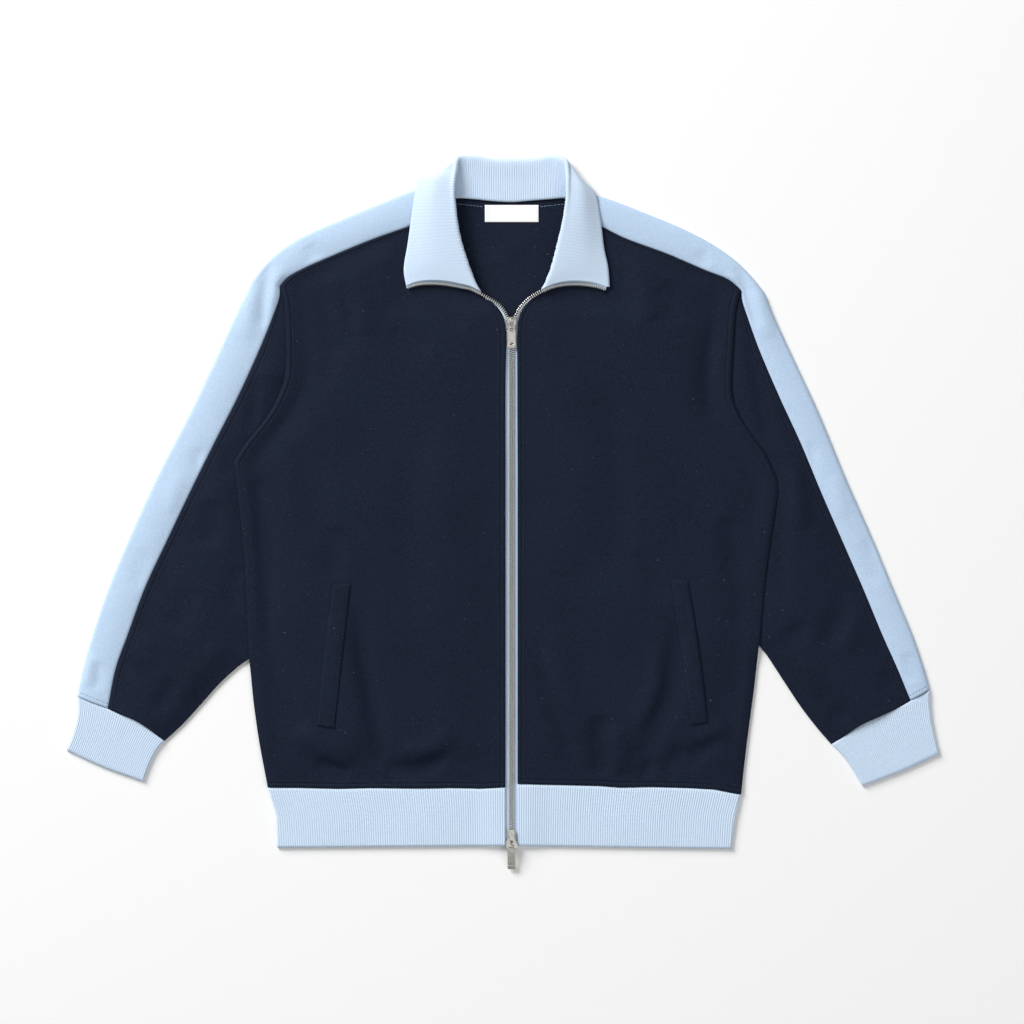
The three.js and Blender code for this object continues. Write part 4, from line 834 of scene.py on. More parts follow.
# Middle of each row of zip teeth, from the hem up, round the V and along the turned collar
CHAINS = {
    "right": [(-1.35, -357, 4.4), (-1.35, -150, 4.4), (-1.35, 50, 4.4), (-1.35, 165, 4.4), (-1.5, 178, 4.4),
              (-2.4, 184, 4.4), (-4.2, 191, 4.5), (-8.3, 199, 4.8), (-13, 204.5, 5.2), (-20.5, 209.5, 5.8),
              (-27.5, 213.5, 6.4), (-34.5, 217.5, 6.9), (-43, 221.5, 7.1), (-54, 223.8, 7.1), (-66, 226, 7.1),
              (-80.5, 227.3, 7), (-94, 227, 6.9), (-102, 225.6, 6.8), (-110, 223, 6.8)],
    "left": [(1.35, -357, 4.4), (1.35, -150, 4.4), (1.35, 50, 4.4), (1.35, 165, 4.4), (1.5, 178, 4.4),
             (2.4, 184, 4.4), (4.2, 191, 4.5), (8.3, 199.5, 4.8), (12.5, 205, 5.2), (19, 211, 5.8),
             (25.5, 215.3, 6.4), (33.5, 219.6, 6.9), (42, 223.2, 7.1), (52.5, 225.6, 7.1), (64.5, 226.6, 7.1),
             (77, 226, 7), (89.5, 224, 6.9), (99, 221, 6.8)],
}
COLLAR_TAPE_X = 33         # the tape lies on the collar beyond this
BINDING_LENGTH = 78
COLLAR_RIBS = 151
COLLAR_ROWS = 40
stations = np.array(COLLAR["right"][::-1] + COLLAR["left"][1:], float)
middle = len(COLLAR["right"]) - 1
last = len(stations) - 1
station_numbers = np.arange(last + 1.0)


def binding_width(from_middle):
    """Width of the zip tape that binds the collar's front edge, by distance from the middle."""
    return 1.9 + 1.6 * np.sin(math.pi * np.clip((from_middle - COLLAR_TAPE_X) / BINDING_LENGTH, 0, 1)) ** 0.7


def collar_section(t):
    """Middle of the cloth across the collar at a share of its length, from the seam to the free edge."""
    k = t * last
    values = []
    for column in stations.T:
        line, _ = smooth_line(np.stack([station_numbers, column], -1), 12)
        values.append(np.interp(k, line[:, 0], line[:, 1]))
    nx, ny, nz, rx, ry, rz, turn, ex, ey, ez, bulge = values
    turn = np.radians(turn)
    swing = np.clip((k - middle) / CORNER, -1, 1) * math.pi / 2
    away = np.stack([np.sin(swing), np.cos(swing), 0 * swing], -1)
    up = np.array([0, 0, 1.0])
    back = -np.sin(turn)[:, None] * up - np.cos(turn)[:, None] * away
    over = -np.cos(turn)[:, None] * up + np.sin(turn)[:, None] * away
    neck, roll, edge = (np.stack(p, -1) for p in ((nx, ny, nz), (rx, ry, rz), (ex, ey, ez)))
    base = roll + back * ROLL_SPREAD
    stand = base - over * ROLL_SPREAD
    fall = base + over * ROLL_SPREAD
    lower = mix(fall, edge, 0.5) + bulge[:, None] * up
    return np.stack([neck, mix(neck, stand, 0.5), stand, roll, fall, lower, edge], 1)


collar_share = np.linspace(0, 1, COLLAR_RIBS * RIB_STEPS + 1)
row_share = np.linspace(0, 1, COLLAR_ROWS + 1)
coarse = collar_section(collar_share)
collar_mid = np.array([at(section, row_share) for section in coarse])
for side in SIDES:
    to_end = collar_share if side == "right" else 1 - collar_share
    end = collar_mid[0 if side == "right" else -1]
    chain_x, chain_y = smooth_line(CHAINS[side])[0][:, :2].T
    beyond = np.abs(chain_x) > 28
    from_middle = np.abs(end[:, 0])
    edge_y = np.interp(from_middle, np.abs(chain_x[beyond]), chain_y[beyond]) + binding_width(from_middle)
    collar_mid[..., 1] += (edge_y - end[:, 1])[None] * (1 - ease(to_end, 0, 0.09))[:, None]
run = np.gradient(collar_mid, axis=0)
across = np.gradient(collar_mid, axis=1)
face = np.cross(run, across)
face /= np.linalg.norm(face, axis=2)[..., None]
# The ribs fade where the band is hidden behind the neck, and are pressed flatter over the roll and fall
hidden = 1 - ease(np.abs(collar_share * last - middle), 3, 4.5)[:, None] * np.ones(COLLAR_ROWS + 1)
legs = np.linalg.norm(np.diff(coarse, axis=1), axis=2)
roll_share = (legs[:, :3].sum(1) / legs.sum(1))[:, None]
pressed = mix(0.8, 0.97, ease(np.abs(collar_share - 0.5), 0.24, 0.4))[:, None]
pressed = pressed * ease(row_share - roll_share, -0.08, 0.12)
ribs = rib_wave(COLLAR_RIBS)[:, None] * (1 - hidden * ease(row_share, 0.5, 0.6)) * (1 - pressed)
thin = 1 - 0.45 * bell(row_share - 1, 0.01) - 0.3 * bell(row_share, 0.01)
puff = RIBBED / 2 * thin + ribs * RIB_HEIGHT * thin
outer = collar_mid + face * puff[..., None]
inner = collar_mid - face * (RIBBED / 2 * thin * np.ones(puff.shape))[..., None]
steps = np.linalg.norm(np.diff(collar_mid, axis=1), axis=2)
girth = np.cumsum(np.hstack([np.zeros((len(outer), 1)), steps]), axis=1)
chart = np.dstack([np.arange(len(outer))[:, None] * RIB_PITCH / RIB_STEPS + 0 * girth, girth])
collar_rib = wall("collar_rib", outer, inner, chart)
dress(collar_rib, sky_rib, "rib_knit", "root", "collar")

# Pocket welts: a folded strip of the navy knit on each front, open along its outer side, with two rows
# of stitches beside its inner side and its ends stitched down.
WELT_WIDTH = 18
WELT_LENGTH = 150
WELT_THICK = 0.8
WELT_STITCH_COLUMNS = (9, 11)
WELT_END_ROW = 3
# Corners of each welt: top outer, top inner, foot outer, foot inner
WELT = {
    "right": [(-187, -88), (-169, -88), (-204, -236.5), (-186, -240)],
    "left": [(185, -84.5), (167, -83.5), (206, -234), (189, -236)],
}


def height_on(top, x, y):
    """Height of a cloth's top at plan positions, from its nearest points."""
    spots = top.reshape(-1, 3)
    flat_x, flat_y = np.ravel(x), np.ravel(y)
    out = np.empty(len(flat_x))
    for i in range(len(flat_x)):
        squared = (spots[:, 0] - flat_x[i]) ** 2 + (spots[:, 1] - flat_y[i]) ** 2
        near = np.argpartition(squared, 4)[:4]
        weight = 1 / (squared[near] + 0.05)
        out[i] = (spots[near, 2] * weight).sum() / weight.sum()
    return out.reshape(np.shape(x))


t = np.array([0, 0.003, 0.008, 0.015, *np.linspace(0.03, 0.97, 60), 0.985, 0.992, 0.997, 1])[:, None]
v = np.array([0, 0.02, 0.06, 0.12, 0.25, 0.4, 0.55, 0.7, 0.78, 0.84, 0.9, 0.95, 0.98, 1])[None]
welt_tops = {}
for side, sign in SIDES.items():
    top_out, top_in, foot_out, foot_in = (np.array(p, float) for p in WELT[side])
    plan = mix(mix(top_out, foot_out, t[..., None]), mix(top_in, foot_in, t[..., None]), v[..., None])
    bow = 1.2 * np.sin(math.pi * t) * (1 - v)
    x, y = plan[..., 0] + sign * bow, plan[..., 1]
    edge = np.minimum(np.minimum(v, 1 - v) * WELT_WIDTH, np.minimum(t, 1 - t) * WELT_LENGTH)
    lift = 0.9 * ease(edge, 0, 1.4) + 0.7 * ease(1 - v, 0, 0.5) * np.sin(math.pi * t)
    height = height_on(front_tops[side], x, y) + 0.85 + lift
    height = height - 0.4 * bell((1 - v) * WELT_WIDTH - 2.9, 0.6) - 0.3 * bell(edge - 0.9, 0.5)
    welt_tops[side] = np.dstack([x, y, height])
    under = np.dstack([x, y, height - WELT_THICK - lift])
    welt_cloth = wall(f"welt_cloth_{side}", welt_tops[side], under, np.dstack([x, y]))
    dress(welt_cloth, navy_knit, "body_knit", "root", f"pocket_welt_{side}")

# Zip tapes: woven polyester, a shade deeper than the rib. They show as a narrow line on both sides of
# the teeth, and as the binding between the collar's edge and the teeth.
TAPE_INNER = 0.3           # from the middle of a row of teeth to the tape that they grip
TAPE_OUTER = 10.4
TAPE_BOTTOM = -1.3         # underside of the tape below the middle of the teeth
TAPE_THICK = 0.45


def tape_finish():
    """Woven tape: a fine diagonal weave of pale threads."""
    finish, tree = new_finish("Sky woven polyester tape")
    cloth = add(tree, "UVMap", {}, uv_map="cloth").outputs["UV"]
    twill = add(tree, "TexWave", {"Vector": cloth, "Scale": band_scale(0.001)},
                bands_direction="DIAGONAL").outputs["Fac"]
    grain = add(tree, "TexNoise", {"Vector": cloth, "Scale": 900, "Detail": 2}).outputs["Fac"]
    tone = add(tree, "Math", {0: twill, 1: 0.5, 2: grain}, operation="MULTIPLY_ADD").outputs[0]
    colour = add(tree, "Mix", {0: tone, 6: linear("#B2CAE4"), 7: linear("#D0E2F4")},
                 data_type="RGBA").outputs[2]
    bump = add(tree, "Bump", {"Height": twill, "Strength": 0.4, "Distance": 0.0001}).outputs[0]
    shader = add(tree, "BsdfPrincipled", {"Base Color": colour, "Roughness": 0.75, "IOR": 1.5,
                 "Normal": bump})
    add(tree, "OutputMaterial", {"Surface": shader.outputs[0]})
    return finish


# Woven polyester tape, dyed to match the rib: flat, with a faint diagonal weave
sky_tape = tape_finish()


def chain_frame(side, points):
    """Directions along a row of teeth, and away from the opening beside it."""
    run = np.gradient(points, axis=0)
    run[:, 2] = 0
    run /= np.linalg.norm(run, axis=1)[:, None]
    away = np.stack([run[:, 1], -run[:, 0], 0 * run[:, 0]], -1) * SIDES[side]
    return run, away


def ribbon(name, side, points, near, far, bottom, thick):
    """A flat strip of tape along a path, from near to far on its outer side at each point."""
    _, away = chain_frame(side, points)
    offsets = mix(near, far[:, None, None], np.linspace(0, 1, 8)[None, :, None])
    top = points[:, None] + away[:, None] * offsets
    top[..., 2] += bottom + thick
    under = top - [0, 0, thick]
    run = run_along(points)[:, None]
    chart = np.dstack([offsets[..., 0], run + 0 * offsets[..., 0]])
    return wall(name, top, under, chart)


for side in SIDES:
    path = at(CHAINS[side], np.linspace(0, 1, 701))
    straight = path[(path[:, 1] < 213) & (np.abs(path[:, 0]) < 30)][::3]
    far = np.interp(straight[:, 1], [176, 186, 196, 213], [TAPE_OUTER, 4.5, 3.4, 2])
    tape = ribbon(f"tape_woven_{side}", side, straight, TAPE_INNER, far, TAPE_BOTTOM, TAPE_THICK)
    dress(tape, sky_tape, "zip_tape", "root", f"zip_tape_{side}")
    turned = path[np.abs(path[:, 0]) > COLLAR_TAPE_X]
    upper = -binding_width(np.abs(turned[:, 0])) - 0.6
    binding = ribbon(f"binding_woven_{side}", side, turned, 1.0, upper, -0.6, TAPE_THICK)
    dress(binding, sky_tape, "zip_tape", "root", f"collar_tape_{side}")

# Zip teeth: pressed nickel-silver teeth clamped to the tapes 2.3 mm apart. They interlock up the front
# and part at the top slider, where each row turns along the neckline and the collar's edge.
TOOTH_PITCH = 2.3
# Outline of a tooth as (along the row, towards its head), its rings as (share of it, height), and the
# faces that close its top and its foot
TOOTH_PLAN = [(-0.78, -1.5), (0.78, -1.5), (0.8, -0.2), (0.4, 0.8), (0.42, 2.1), (-0.42, 2.1), (-0.4, 0.8),
              (-0.8, -0.2)]
TOOTH_RINGS = [(1.0, -0.8), (1.0, 0.7), (0.7, 1.15)]
LID = [(0, 1, 2, 7), (7, 2, 3, 6), (6, 3, 4, 5)]


def metal_finish(name, colour, roughness, scratch):
    """Plated metal: bright, with fine scuffs that soften its reflections."""
    finish, tree = new_finish(name)
    place = add(tree, "TexCoord", {}).outputs["Object"]
    spread = add(tree, "Mapping", {"Vector": place, "Scale": (1, 0.15, 1)}).outputs[0]
    scuffs = add(tree, "TexNoise", {"Vector": spread, "Scale": 1 / scratch, "Detail": 4,
                 "Roughness": 0.7}).outputs["Fac"]
    rough = add(tree, "Math", {0: scuffs, 1: 0.22, 2: roughness - 0.1},
                operation="MULTIPLY_ADD").outputs[0]
    tint = add(tree, "Mix", {0: scuffs, 6: linear("#BEBCB6"), 7: linear(colour)},
               data_type="RGBA").outputs[2]
    bump = add(tree, "Bump", {"Height": scuffs, "Strength": 0.12, "Distance": 0.00005}).outputs[0]
    shader = add(tree, "BsdfPrincipled", {"Base Color": tint, "Metallic": 1, "Roughness": rough,
                 "Normal": bump})
    add(tree, "OutputMaterial", {"Surface": shader.outputs[0]})
    return finish


# Nickel silver, pressed and tumbled: a warm grey metal with soft reflections
nickel = metal_finish("Tumbled nickel silver", "#F7F6F2", 0.34, 0.0004)


def toothed(name, side, points, flip):
    """One row of teeth along a path, as a single mesh."""
    run, away = chain_frame(side, points)
    heads = -away * flip[:, None]
    corners = len(TOOTH_PLAN)
    verts, faces = [], []
    for p, r, h in zip(points, run, heads):
        base = len(verts)
        for scale, z in TOOTH_RINGS:
            for along_run, across_run in TOOTH_PLAN:
                verts.append(p + r * along_run * scale + h * across_run * scale + [0, 0, z])
        lid = len(verts) - corners
        for ring in range(base, lid, corners):
            for k in range(corners):
                a, b = ring + k, ring + (k + 1) % corners
                faces.append((a, b, b + corners, a + corners))
        faces += [tuple(start + k for k in quad) for start in (base, lid) for quad in LID]
    return mesh_piece(name, np.array(verts) * MM, np.array(faces), smooth=False)


for side in SIDES:
    line, run = smooth_line(CHAINS[side])
    start = 1.2 + (TOOTH_PITCH / 2 if side == "left" else 0)
    points = spots_on(line, run, np.arange(start, run[-1] - 0.8, TOOTH_PITCH))
    flip = np.where(np.abs(points[:, 0]) > COLLAR_TAPE_X, -1, 1)
    teeth = toothed(f"teeth_{side}", side, points, flip)
    dress(teeth, nickel, "zip_metal", "root", f"zip_chain_{side}")

# Sliders and pulls: die-cast zinc, plated to match the teeth. Each slider has two plates joined at its
# mouth and a bridge on top, in which the bar of its pull turns.
FOOT_TOP = 2.8
PLATE = 1.15
BRIDGE_RISE = 1.5
# The bridge is low in front of the hinge, so that the pull can swing over it
CROWN_HEIGHT = BRIDGE_RISE + 0.8
# Half of the bridge's outline and its opening, as (across, distance from the hinge)
CROWN = [(1.5, 1.75), (1.6, 2.2), (2.1, 4.4), (2.4, 6), (2.4, 7.6), (1.9, 9), (0.9, 9.6)]
WINDOW = [(-1, 2.7), (1, 2.7), (1.1, 5), (0.8, 5.9), (-0.8, 5.9), (-1.1, 5)]
PULL_THICK = 1.2
TAB_CORNER = 1.5
# Stands the bridge's arch across the zip
UPRIGHT = Matrix(((0, 0, 1, 0), (1, 0, 0, 0), (0, 1, 0, 0), (0, 0, 0, 1)))
# y, half (length), wide and narrow shape the plates, mouth points to the wide end, plate and foot are the
# heights of the two; hinge, reach (length), tilt (degrees), width and hole shape the pull
SLIDERS = {
    "upper": {"y": 185, "half": 7.2, "wide": 5.5, "narrow": 3.75, "mouth": 1, "plate": 6, "foot": 1.6,
              "hinge": 181, "reach": 21.6, "tilt": 5, "width": 9, "hole": 17.2, "crown": 1},
    "lower": {"y": -356, "half": 10.3, "wide": 6.3, "narrow": 3.75, "mouth": -1, "plate": 6.5, "foot": 2.2,
              "hinge": -363, "reach": 25.4, "tilt": 14, "width": 8.3, "hole": 0, "crown": 1.35},
}
# Zinc, die-cast, tumbled and nickel-plated: a little darker than the teeth, with coarser scuffs
zinc = metal_finish("Plated die-cast zinc", "#DAD7CF", 0.3, 0.0006)


def cut_plate(outlines, thick, bevel):
    """A plate with rounded edges, from its outline and the outlines of its holes, round height 0."""
    curve = bpy.data.curves.new("plate", "CURVE")
    curve.dimensions = "2D"
    curve.fill_mode = "BOTH"
    curve.extrude = thick / 2 - bevel
    curve.bevel_depth = bevel
    curve.bevel_resolution = 2
    curve.offset = -bevel
    for outline in outlines:
        spline = curve.splines.new("POLY")
        spline.points.add(len(outline) - 1)
        for point, (x, y) in zip(spline.points, outline):
            point.co = (x, y, 0, 1)
        spline.use_cyclic_u = True
    holder = bpy.data.objects.new("plate", curve)
    mesh = bpy.data.meshes.new_from_object(holder)
    bpy.data.objects.remove(holder)
    bpy.data.curves.remove(curve)
    return mesh


def metal_piece(name, parts):
    """One piece from several meshes in millimetres, each with the matrix that places it."""
    form = bmesh.new()
    for mesh, place in parts:
        piece = bmesh.new()
        piece.from_mesh(mesh)
        bmesh.ops.remove_doubles(piece, verts=piece.verts, dist=0.004)
        bmesh.ops.transform(piece, matrix=Matrix.Scale(MM, 4) @ place, verts=piece.verts)
        placed = bpy.data.meshes.new("placed")
        piece.to_mesh(placed)
        form.from_mesh(placed)
        bpy.data.meshes.remove(placed)
        piece.free()
    bmesh.ops.recalc_face_normals(form, faces=form.faces)
    mesh = bpy.data.meshes.new(name)
    form.to_mesh(mesh)
    form.free()
    mesh.polygons.foreach_set("use_smooth", [True] * len(mesh.polygons))
    mesh.set_sharp_from_angle(angle=math.radians(35))
    return put(name, mesh)


def rounded_box(width, length, thick, corner, bevel):
    """A plate with round corners, centred."""
    points = []
    for cx, cy, start in ((1, 1, 0), (-1, 1, 90), (-1, -1, 180), (1, -1, 270)):
        x, y = cx * (width / 2 - corner), cy * (length / 2 - corner)
        points += arc_points(x, y, corner, corner, start, start + 90, 6)
    return cut_plate([points], thick, bevel)


def arc_points(x, y, across, along_y, start, end, count):
    """Points on an arc round (x, y), between two angles in degrees."""
    turns = np.radians(np.linspace(start, end, count))
    return [(x + across * math.cos(a), y + along_y * math.sin(a)) for a in turns]


def mirrored(points):
    """The points, and then their mirror image back to the start."""
    return points + [(-x, y) for x, y in points[::-1]]


def shift(x, y, z):
    """A move by x, y and z."""
    return Matrix.Translation((x, y, z))


for label, s in SLIDERS.items():
    mouth_y = s["y"] + s["mouth"] * s["half"]
    tail_y = s["y"] - s["mouth"] * s["half"]
    profile = [(tail_y, s["narrow"] * 0.86), (mix(tail_y, mouth_y, 0.03), s["narrow"]),
               (mix(tail_y, mouth_y, 0.4), s["narrow"] * 1.06), (mix(tail_y, mouth_y, 0.7), s["wide"]),
               (mix(tail_y, mouth_y, 0.86), s["wide"] * 0.97), (mouth_y - s["mouth"] * 0.8, s["wide"] * 0.8),
               (mouth_y, s["wide"] * 0.6)]
    edge = [tuple(p) for p in at([(w, y) for y, w in profile], np.linspace(0, 1, 25))]
    outline = mirrored(edge)
    trimmed = [(x * 0.93, y) for x, y in outline]
    plate_top = s["plate"] + PLATE
    hinge_z = plate_top + BRIDGE_RISE
    feet = s["plate"] + 0.6 - hinge_z
    arch = [(2, feet), *arc_points(0, 0, 2, 2, 0, 180, 17), (-2, feet), (-1, feet),
            *arc_points(0, 0, 1, 1, 180, 0, 13), (1, feet)]
    stand = shift(0, s["hinge"], hinge_z) @ UPRIGHT
    crown = mirrored([(half_width, s["hinge"] + rise * s["crown"]) for half_width, rise in CROWN])
    window = [(x, s["hinge"] + rise) for x, rise in WINDOW]
    post_foot, post_top = s["foot"] + 0.2, s["plate"] + 0.5
    post = shift(0, mouth_y - s["mouth"] * 1.6, (post_foot + post_top) / 2)
    parts = [
        (cut_plate([outline, window], PLATE, 0.35), shift(0, 0, s["plate"] + PLATE / 2)),
        (cut_plate([trimmed], FOOT_TOP - s["foot"], 0.2), shift(0, 0, (s["foot"] + FOOT_TOP) / 2)),
        (rounded_box(2, 2.5, post_top - post_foot, 0.4, 0.1), post),
        (cut_plate([arch], 3, 0.25), stand),
        (cut_plate([crown, window], CROWN_HEIGHT, 0.5), shift(0, 0, plate_top - 0.3 + CROWN_HEIGHT / 2)),
    ]
    beyond = [(x, y) for x, y in edge if y > s["hinge"] + 1.8]
    for turn in (-1, 1):
        flank = [(turn * x * 0.99, y) for x, y in edge] + [(turn * (x - 0.7), y) for x, y in edge[::-1]]
        parts.append((cut_plate([flank], 1.3, 0.15), shift(0, 0, s["plate"] - 0.3)))
        guard = [(turn * x * 0.98, y) for x, y in beyond] + [(turn * (x - 1), y) for x, y in beyond[::-1]]
        parts.append((cut_plate([guard], 2.4, 0.3), shift(0, 0, s["plate"] + 0.9)))
    slider = metal_piece(f"slider_cast_{label}", parts)
    dress(slider, zinc, "zip_metal", "root", f"slider_{label}")

    half, reach = s["width"] / 2, s["reach"]
    neck = [(-half * 0.62, 0.65), (-half * 0.7, -1.6), (-half * 0.76, -2.6), (-half, -3.4)]
    end = arc_points(TAB_CORNER - half, TAB_CORNER - reach, TAB_CORNER, TAB_CORNER, 180, 270, 6)
    tab = mirrored(neck + [(-half, TAB_CORNER - reach)] + end)
    slot = [(-1.9, -0.65), (1.9, -0.65), (1.9, -3.3), (1.6, -3.6), (-1.6, -3.6), (-1.9, -3.3)]
    cuts = [tab, slot]
    # Raised details of the tab, as (width, length, thickness, corner, bevel, x, y, z)
    details = []
    if s["hole"]:
        cuts.append(arc_points(0, -s["hole"], 1.7, 1.2, 0, 360, 20)[:-1])
        details.append((s["width"] - 1.4, 9.6, 0.5, 0.8, 0.2, 0, -9.4, 0.5))
        details.append((s["width"] - 0.4, 1.8, 0.7, 0.6, 0.3, 0, 1.2 - reach, 0.5))
    else:
        details += [(0.9, 9.6, 0.5, 0.3, 0.2, x, -9.6, 0.55) for x in (-2.7, -0.9, 0.9, 2.7)]
        details += [(s["width"] - 1.2, 0.8, 0.5, 0.3, 0.2, 0, y, 0.55) for y in (-15.6, -17, -18.4)]
        details.append((s["width"] + 0.2, 4.6, 1.4, 0.9, 0.5, 0.3, 2.4 - reach, 0.5))
    lie = shift(0, s["hinge"], hinge_z) @ Matrix.Rotation(math.radians(s["tilt"]), 4, "X")
    parts = [(cut_plate(cuts, PULL_THICK, 0.25), lie)]
    parts += [(rounded_box(*box), lie @ shift(x, y, z)) for *box, x, y, z in details]
    pull = metal_piece(f"pull_cast_{label}", parts)
    dress(pull, zinc, "zip_metal", f"{label}_pull", f"pull_{label}")

# Neck label: a blank label of white woven satin inside the back neck. It lies on the back panel, with
# both ends folded under and sewn down.
LABEL = {"left": -28, "right": 28.5, "top": 310, "foot": 292}
LABEL_FOOT = 1.56
LABEL_TOP = 1.85
LABEL_STITCH = 2.2         # from an end of the label to its stitches


def satin_finish():
    """Woven satin: close white threads with a soft gloss along them."""
    finish, tree = new_finish("White woven satin")
    cloth = add(tree, "UVMap", {}, uv_map="cloth").outputs["UV"]
    threads = add(tree, "TexWave", {"Vector": cloth, "Scale": band_scale(0.0007)},
                  bands_direction="Y").outputs["Fac"]
    picks = add(tree, "TexWave", {"Vector": cloth, "Scale": band_scale(0.0009)},
                bands_direction="X").outputs["Fac"]
    weave = add(tree, "Math", {0: picks, 1: 0.4, 2: threads}, operation="MULTIPLY_ADD").outputs[0]
    colour = add(tree, "Mix", {0: weave, 6: linear("#EDEFF0"), 7: linear("#FBFBFA")},
                 data_type="RGBA").outputs[2]
    bump = add(tree, "Bump", {"Height": weave, "Strength": 0.3, "Distance": 0.00008}).outputs[0]
    shader = add(tree, "BsdfPrincipled", {"Base Color": colour, "Roughness": 0.45, "IOR": 1.5,
                 "Normal": bump})
    add(tree, "OutputMaterial", {"Surface": shader.outputs[0]})
    return finish


# Polyester satin, bleached white: smooth and slightly shiny
white_satin = satin_finish()
label_x, label_y = np.meshgrid(np.linspace(LABEL["left"], LABEL["right"], 60),
                               np.linspace(LABEL["top"], LABEL["foot"], 24))
from_end = np.minimum(label_x - LABEL["left"], LABEL["right"] - label_x)
from_rim = np.minimum(from_end, np.minimum(LABEL["top"] - label_y, label_y - LABEL["foot"]))
label_z = LABEL_TOP + 0.12 * ease(from_rim, 0, 0.8) + uneven(label_x, label_y, 34, 0.06)
label_z = label_z + 0.15 * (1 - ease(from_end, 4, 5)) - 0.12 * bell(from_end - LABEL_STITCH, 0.5)
label_top = np.dstack([label_x, label_y, label_z])
label_under = np.dstack([label_x, label_y, 0 * label_z + LABEL_FOOT])
label_woven = wall("label_woven", label_top, label_under, label_top[..., :2])
dress(label_woven, white_satin, "label", "root", "neck_label")

# Topstitching: lockstitches 2.7 mm long in polyester thread, navy beside the seams of the panels and
# stripes, sky below the back neck seam and white on the label. They sit in the dips that they pull
# into the cloth.
STITCH = 2.7
STITCH_GAP = 0.9
THREAD = 0.17


def thread_finish(name, colour, shade):
    """Spun thread: its twist shows as slanting bands."""
    finish, tree = new_finish(name)
    place = add(tree, "TexCoord", {}).outputs["Object"]
    twist = add(tree, "TexWave", {"Vector": place, "Scale": band_scale(0.0007)},
                bands_direction="DIAGONAL").outputs["Fac"]
    tint = add(tree, "Mix", {0: twist, 6: linear(shade), 7: linear(colour)},
               data_type="RGBA").outputs[2]
    bump = add(tree, "Bump", {"Height": twist, "Strength": 0.4, "Distance": 0.00006}).outputs[0]
    shader = add(tree, "BsdfPrincipled", {"Base Color": tint, "Roughness": 0.6, "IOR": 1.5,
                 "Normal": bump})
    add(tree, "OutputMaterial", {"Surface": shader.outputs[0]})
    return finish


# Spun polyester, dyed to match each cloth: a little darker than it, with a faint gloss
navy_thread = thread_finish("Navy spun polyester thread", "#151C2D", "#0A0E1A")
white_thread = thread_finish("White spun polyester thread", "#F4F4F2", "#D5D6D6")
sky_thread = thread_finish("Sky spun polyester thread", "#BFD5EC", "#9BB6D4")


def sew(name, finish, slot, lines, up=1):
    """Stitches along lines of points on the cloth, as one piece."""
    verts, faces = [], []
    for line in lines:
        run = run_along(line)
        for begin in np.arange(0.5, run[-1] - STITCH, STITCH + STITCH_GAP):
            points = spots_on(line, run, begin + np.array([0, 0.3, STITCH / 2, STITCH - 0.3, STITCH]))
            points[:, 2] += np.array([-0.15, 0.08, 0.16, 0.08, -0.15]) * up
            ahead = points[-1] - points[0]
            beside = np.array([-ahead[1], ahead[0], 0]) / max(np.hypot(ahead[0], ahead[1]), 1e-6) * THREAD
            base = len(verts)
            verts.append(points[0])
            for point in points[1:4]:
                verts += [point + beside, point + [0, 0, THREAD], point - beside, point - [0, 0, THREAD]]
            verts.append(points[4])
            for k in range(4):
                a, b = base + 1 + k, base + 1 + (k + 1) % 4
                faces += [(base, b, a), (a, b, b + 4, a + 4), (a + 4, b + 4, b + 8, a + 8),
                          (a + 8, b + 8, base + 13)]
    dress(mesh_piece(name, np.array(verts) * MM, faces), finish, slot, "root")


front_from_armpit = np.searchsorted(front_rows, ARMPIT_ROW)
back_above_armpit = back_under[np.searchsorted(back_rows, ARMPIT_ROW + 0.6):-len(neck_steps) - 2]
sew("back_stitches", navy_thread, "body_knit", [
    back_above_armpit[:, STITCH_COLUMN],
    back_above_armpit[:, -1 - STITCH_COLUMN],
    back_under[HEM_STITCH_ROW, 2:-2],
], up=-1)
for side in SIDES:
    top = front_tops[side]
    sew(f"front_stitches_{side}", navy_thread, "body_knit", [
        top[front_from_armpit:-6, -1 - STITCH_COLUMN],
        top[HEM_STITCH_ROW:-20, ZIP_STITCH_COLUMN],
        top[HEM_STITCH_ROW, ZIP_STITCH_COLUMN:-2],
    ])
    top = sleeve_tops[side]
    sew(f"sleeve_stitches_{side}", navy_thread, "body_knit", [
        top[4:CUFF_STITCH_ROW, STITCH_COLUMN],
        top[CUFF_STITCH_ROW, 1:-2],
    ])
    top = welt_tops[side]
    sew(f"welt_stitches_{side}", navy_thread, "body_knit", [
        top[2:-2, WELT_STITCH_COLUMNS[0]],
        top[2:-2, WELT_STITCH_COLUMNS[1]],
        top[WELT_END_ROW, 1:WELT_STITCH_COLUMNS[0]],
        top[-1 - WELT_END_ROW, 1:WELT_STITCH_COLUMNS[0]],
    ])
    sew(f"stripe_stitches_{side}", navy_thread, "stripe_knit", [stripe_ends[side]])

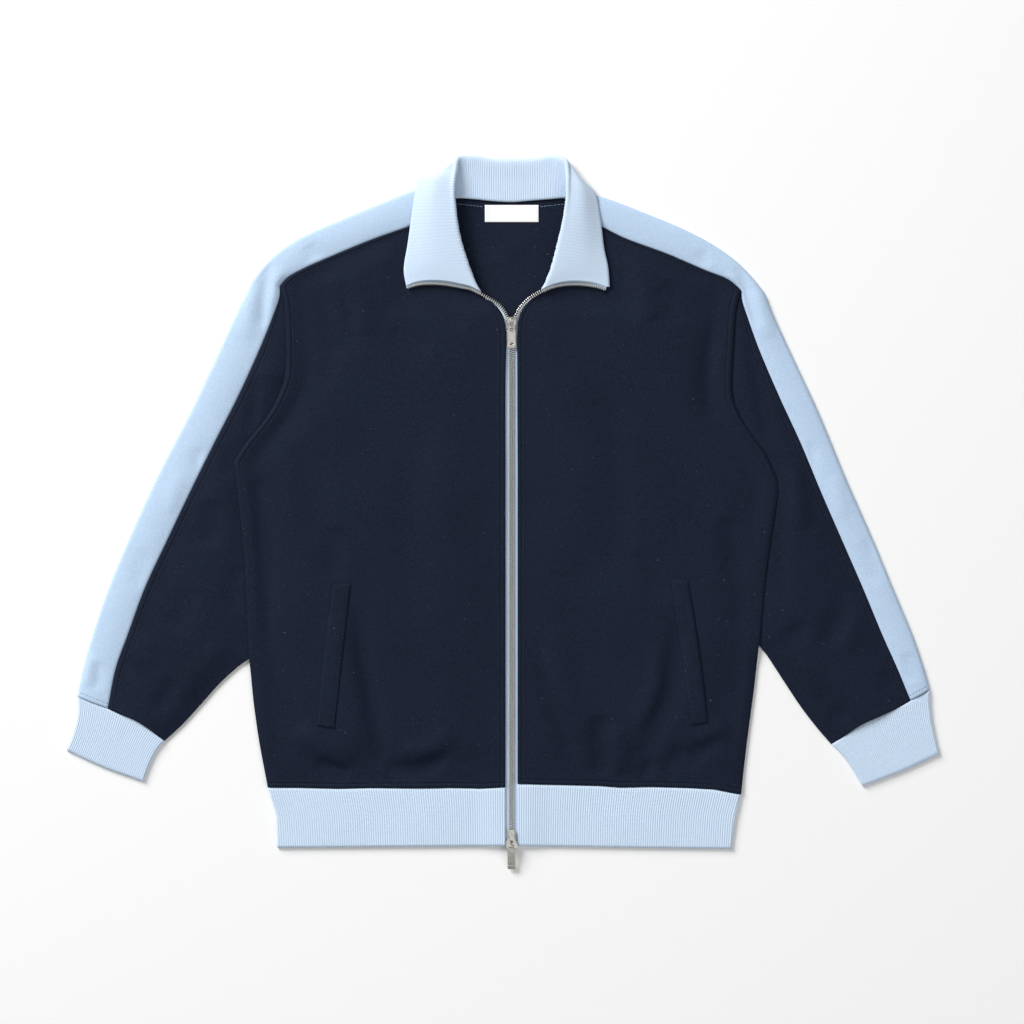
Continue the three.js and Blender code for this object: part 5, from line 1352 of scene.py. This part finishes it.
# A row of sky thread below the back neck seam, on both sides of the label, and white ones on its ends
neck_rows = []
for turn in (-1, 1):
    row_x = turn * np.linspace(LABEL["right"] + 1.5, 60, 30)
    row_y = np.interp(np.abs(row_x), [28, 60], [308, 311.6])
    neck_rows.append(np.stack([row_x, row_y, height_on(back_top, row_x, row_y) + 0.1], -1))
sew("neck_stitches", sky_thread, "body_knit", neck_rows)
stitched = (LABEL["left"] + LABEL_STITCH, LABEL["right"] - LABEL_STITCH)
label_ends = [np.argmin(np.abs(label_x[0] - end)) for end in stitched]
sew("label_stitches", white_thread, "label", [label_top[1:-1, column] for column in label_ends])

# Floor, lights and camera: a plain near-white floor, large soft lamps, and the photograph's view from
# straight above through a long lens.
FLOOR_SIZE = 9
floor_finish, tree = new_finish("Matt white floor")
shader = add(tree, "BsdfPrincipled", {"Base Color": linear("#F7F7F7"), "Roughness": 0.9})
add(tree, "OutputMaterial", {"Surface": shader.outputs[0]})
corner = FLOOR_SIZE / 2
corners = [(-corner, -corner, 0), (corner, -corner, 0), (corner, corner, 0), (-corner, corner, 0)]
floor = mesh_piece("floor", corners, [(0, 1, 2, 3)], smooth=False)
floor.data.materials.append(floor_finish)

world = bpy.data.worlds.new("Pale studio")
world.use_nodes = True
world.node_tree.nodes.clear()
sky = add(world.node_tree, "Background", {"Color": linear("#FFFFFF"), "Strength": 0.2})
add(world.node_tree, "OutputWorld", {"Surface": sky.outputs[0]})
bpy.context.scene.world = world

LAMPS = [
    # name, place, size in metres and power in watts
    ("window_lamp", (-3.6, 3.8, 2.9), 2.8, 470),
    ("fill_lamp", (3.9, -2.2, 3.6), 2.6, 60),
    ("ceiling_lamp", (0.1, -0.7, 3.5), 3.0, 22),
]
for name, place, size, power in LAMPS:
    light = bpy.data.lights.new(name, "AREA")
    light.shape = "SQUARE"
    light.size = size
    light.energy = power
    lamp = put(name, light)
    lamp.location = place
    lamp.visible_camera = False
    away = np.array(place) / np.linalg.norm(place)
    lamp.rotation_euler = (math.acos(away[2]), 0, math.atan2(away[1], away[0]) + math.pi / 2)

# What the photograph shows, in metres: its width and centre, at the height of the cloth's top
FRAME_WIDTH = 1.0752
FRAME_CENTRE = (0.0005, -0.0126)
FRAME_HEIGHT = 0.004
LENS = 100
SENSOR = 36
camera_data = bpy.data.cameras.new("camera")
camera_data.lens = LENS
camera_data.sensor_width = SENSOR
camera_data.clip_end = 50
camera = put("camera", camera_data)
camera.location = (*FRAME_CENTRE, FRAME_HEIGHT + FRAME_WIDTH * LENS / SENSOR)
bpy.context.scene.camera = camera
bpy.context.scene.view_settings.view_transform = "Standard"
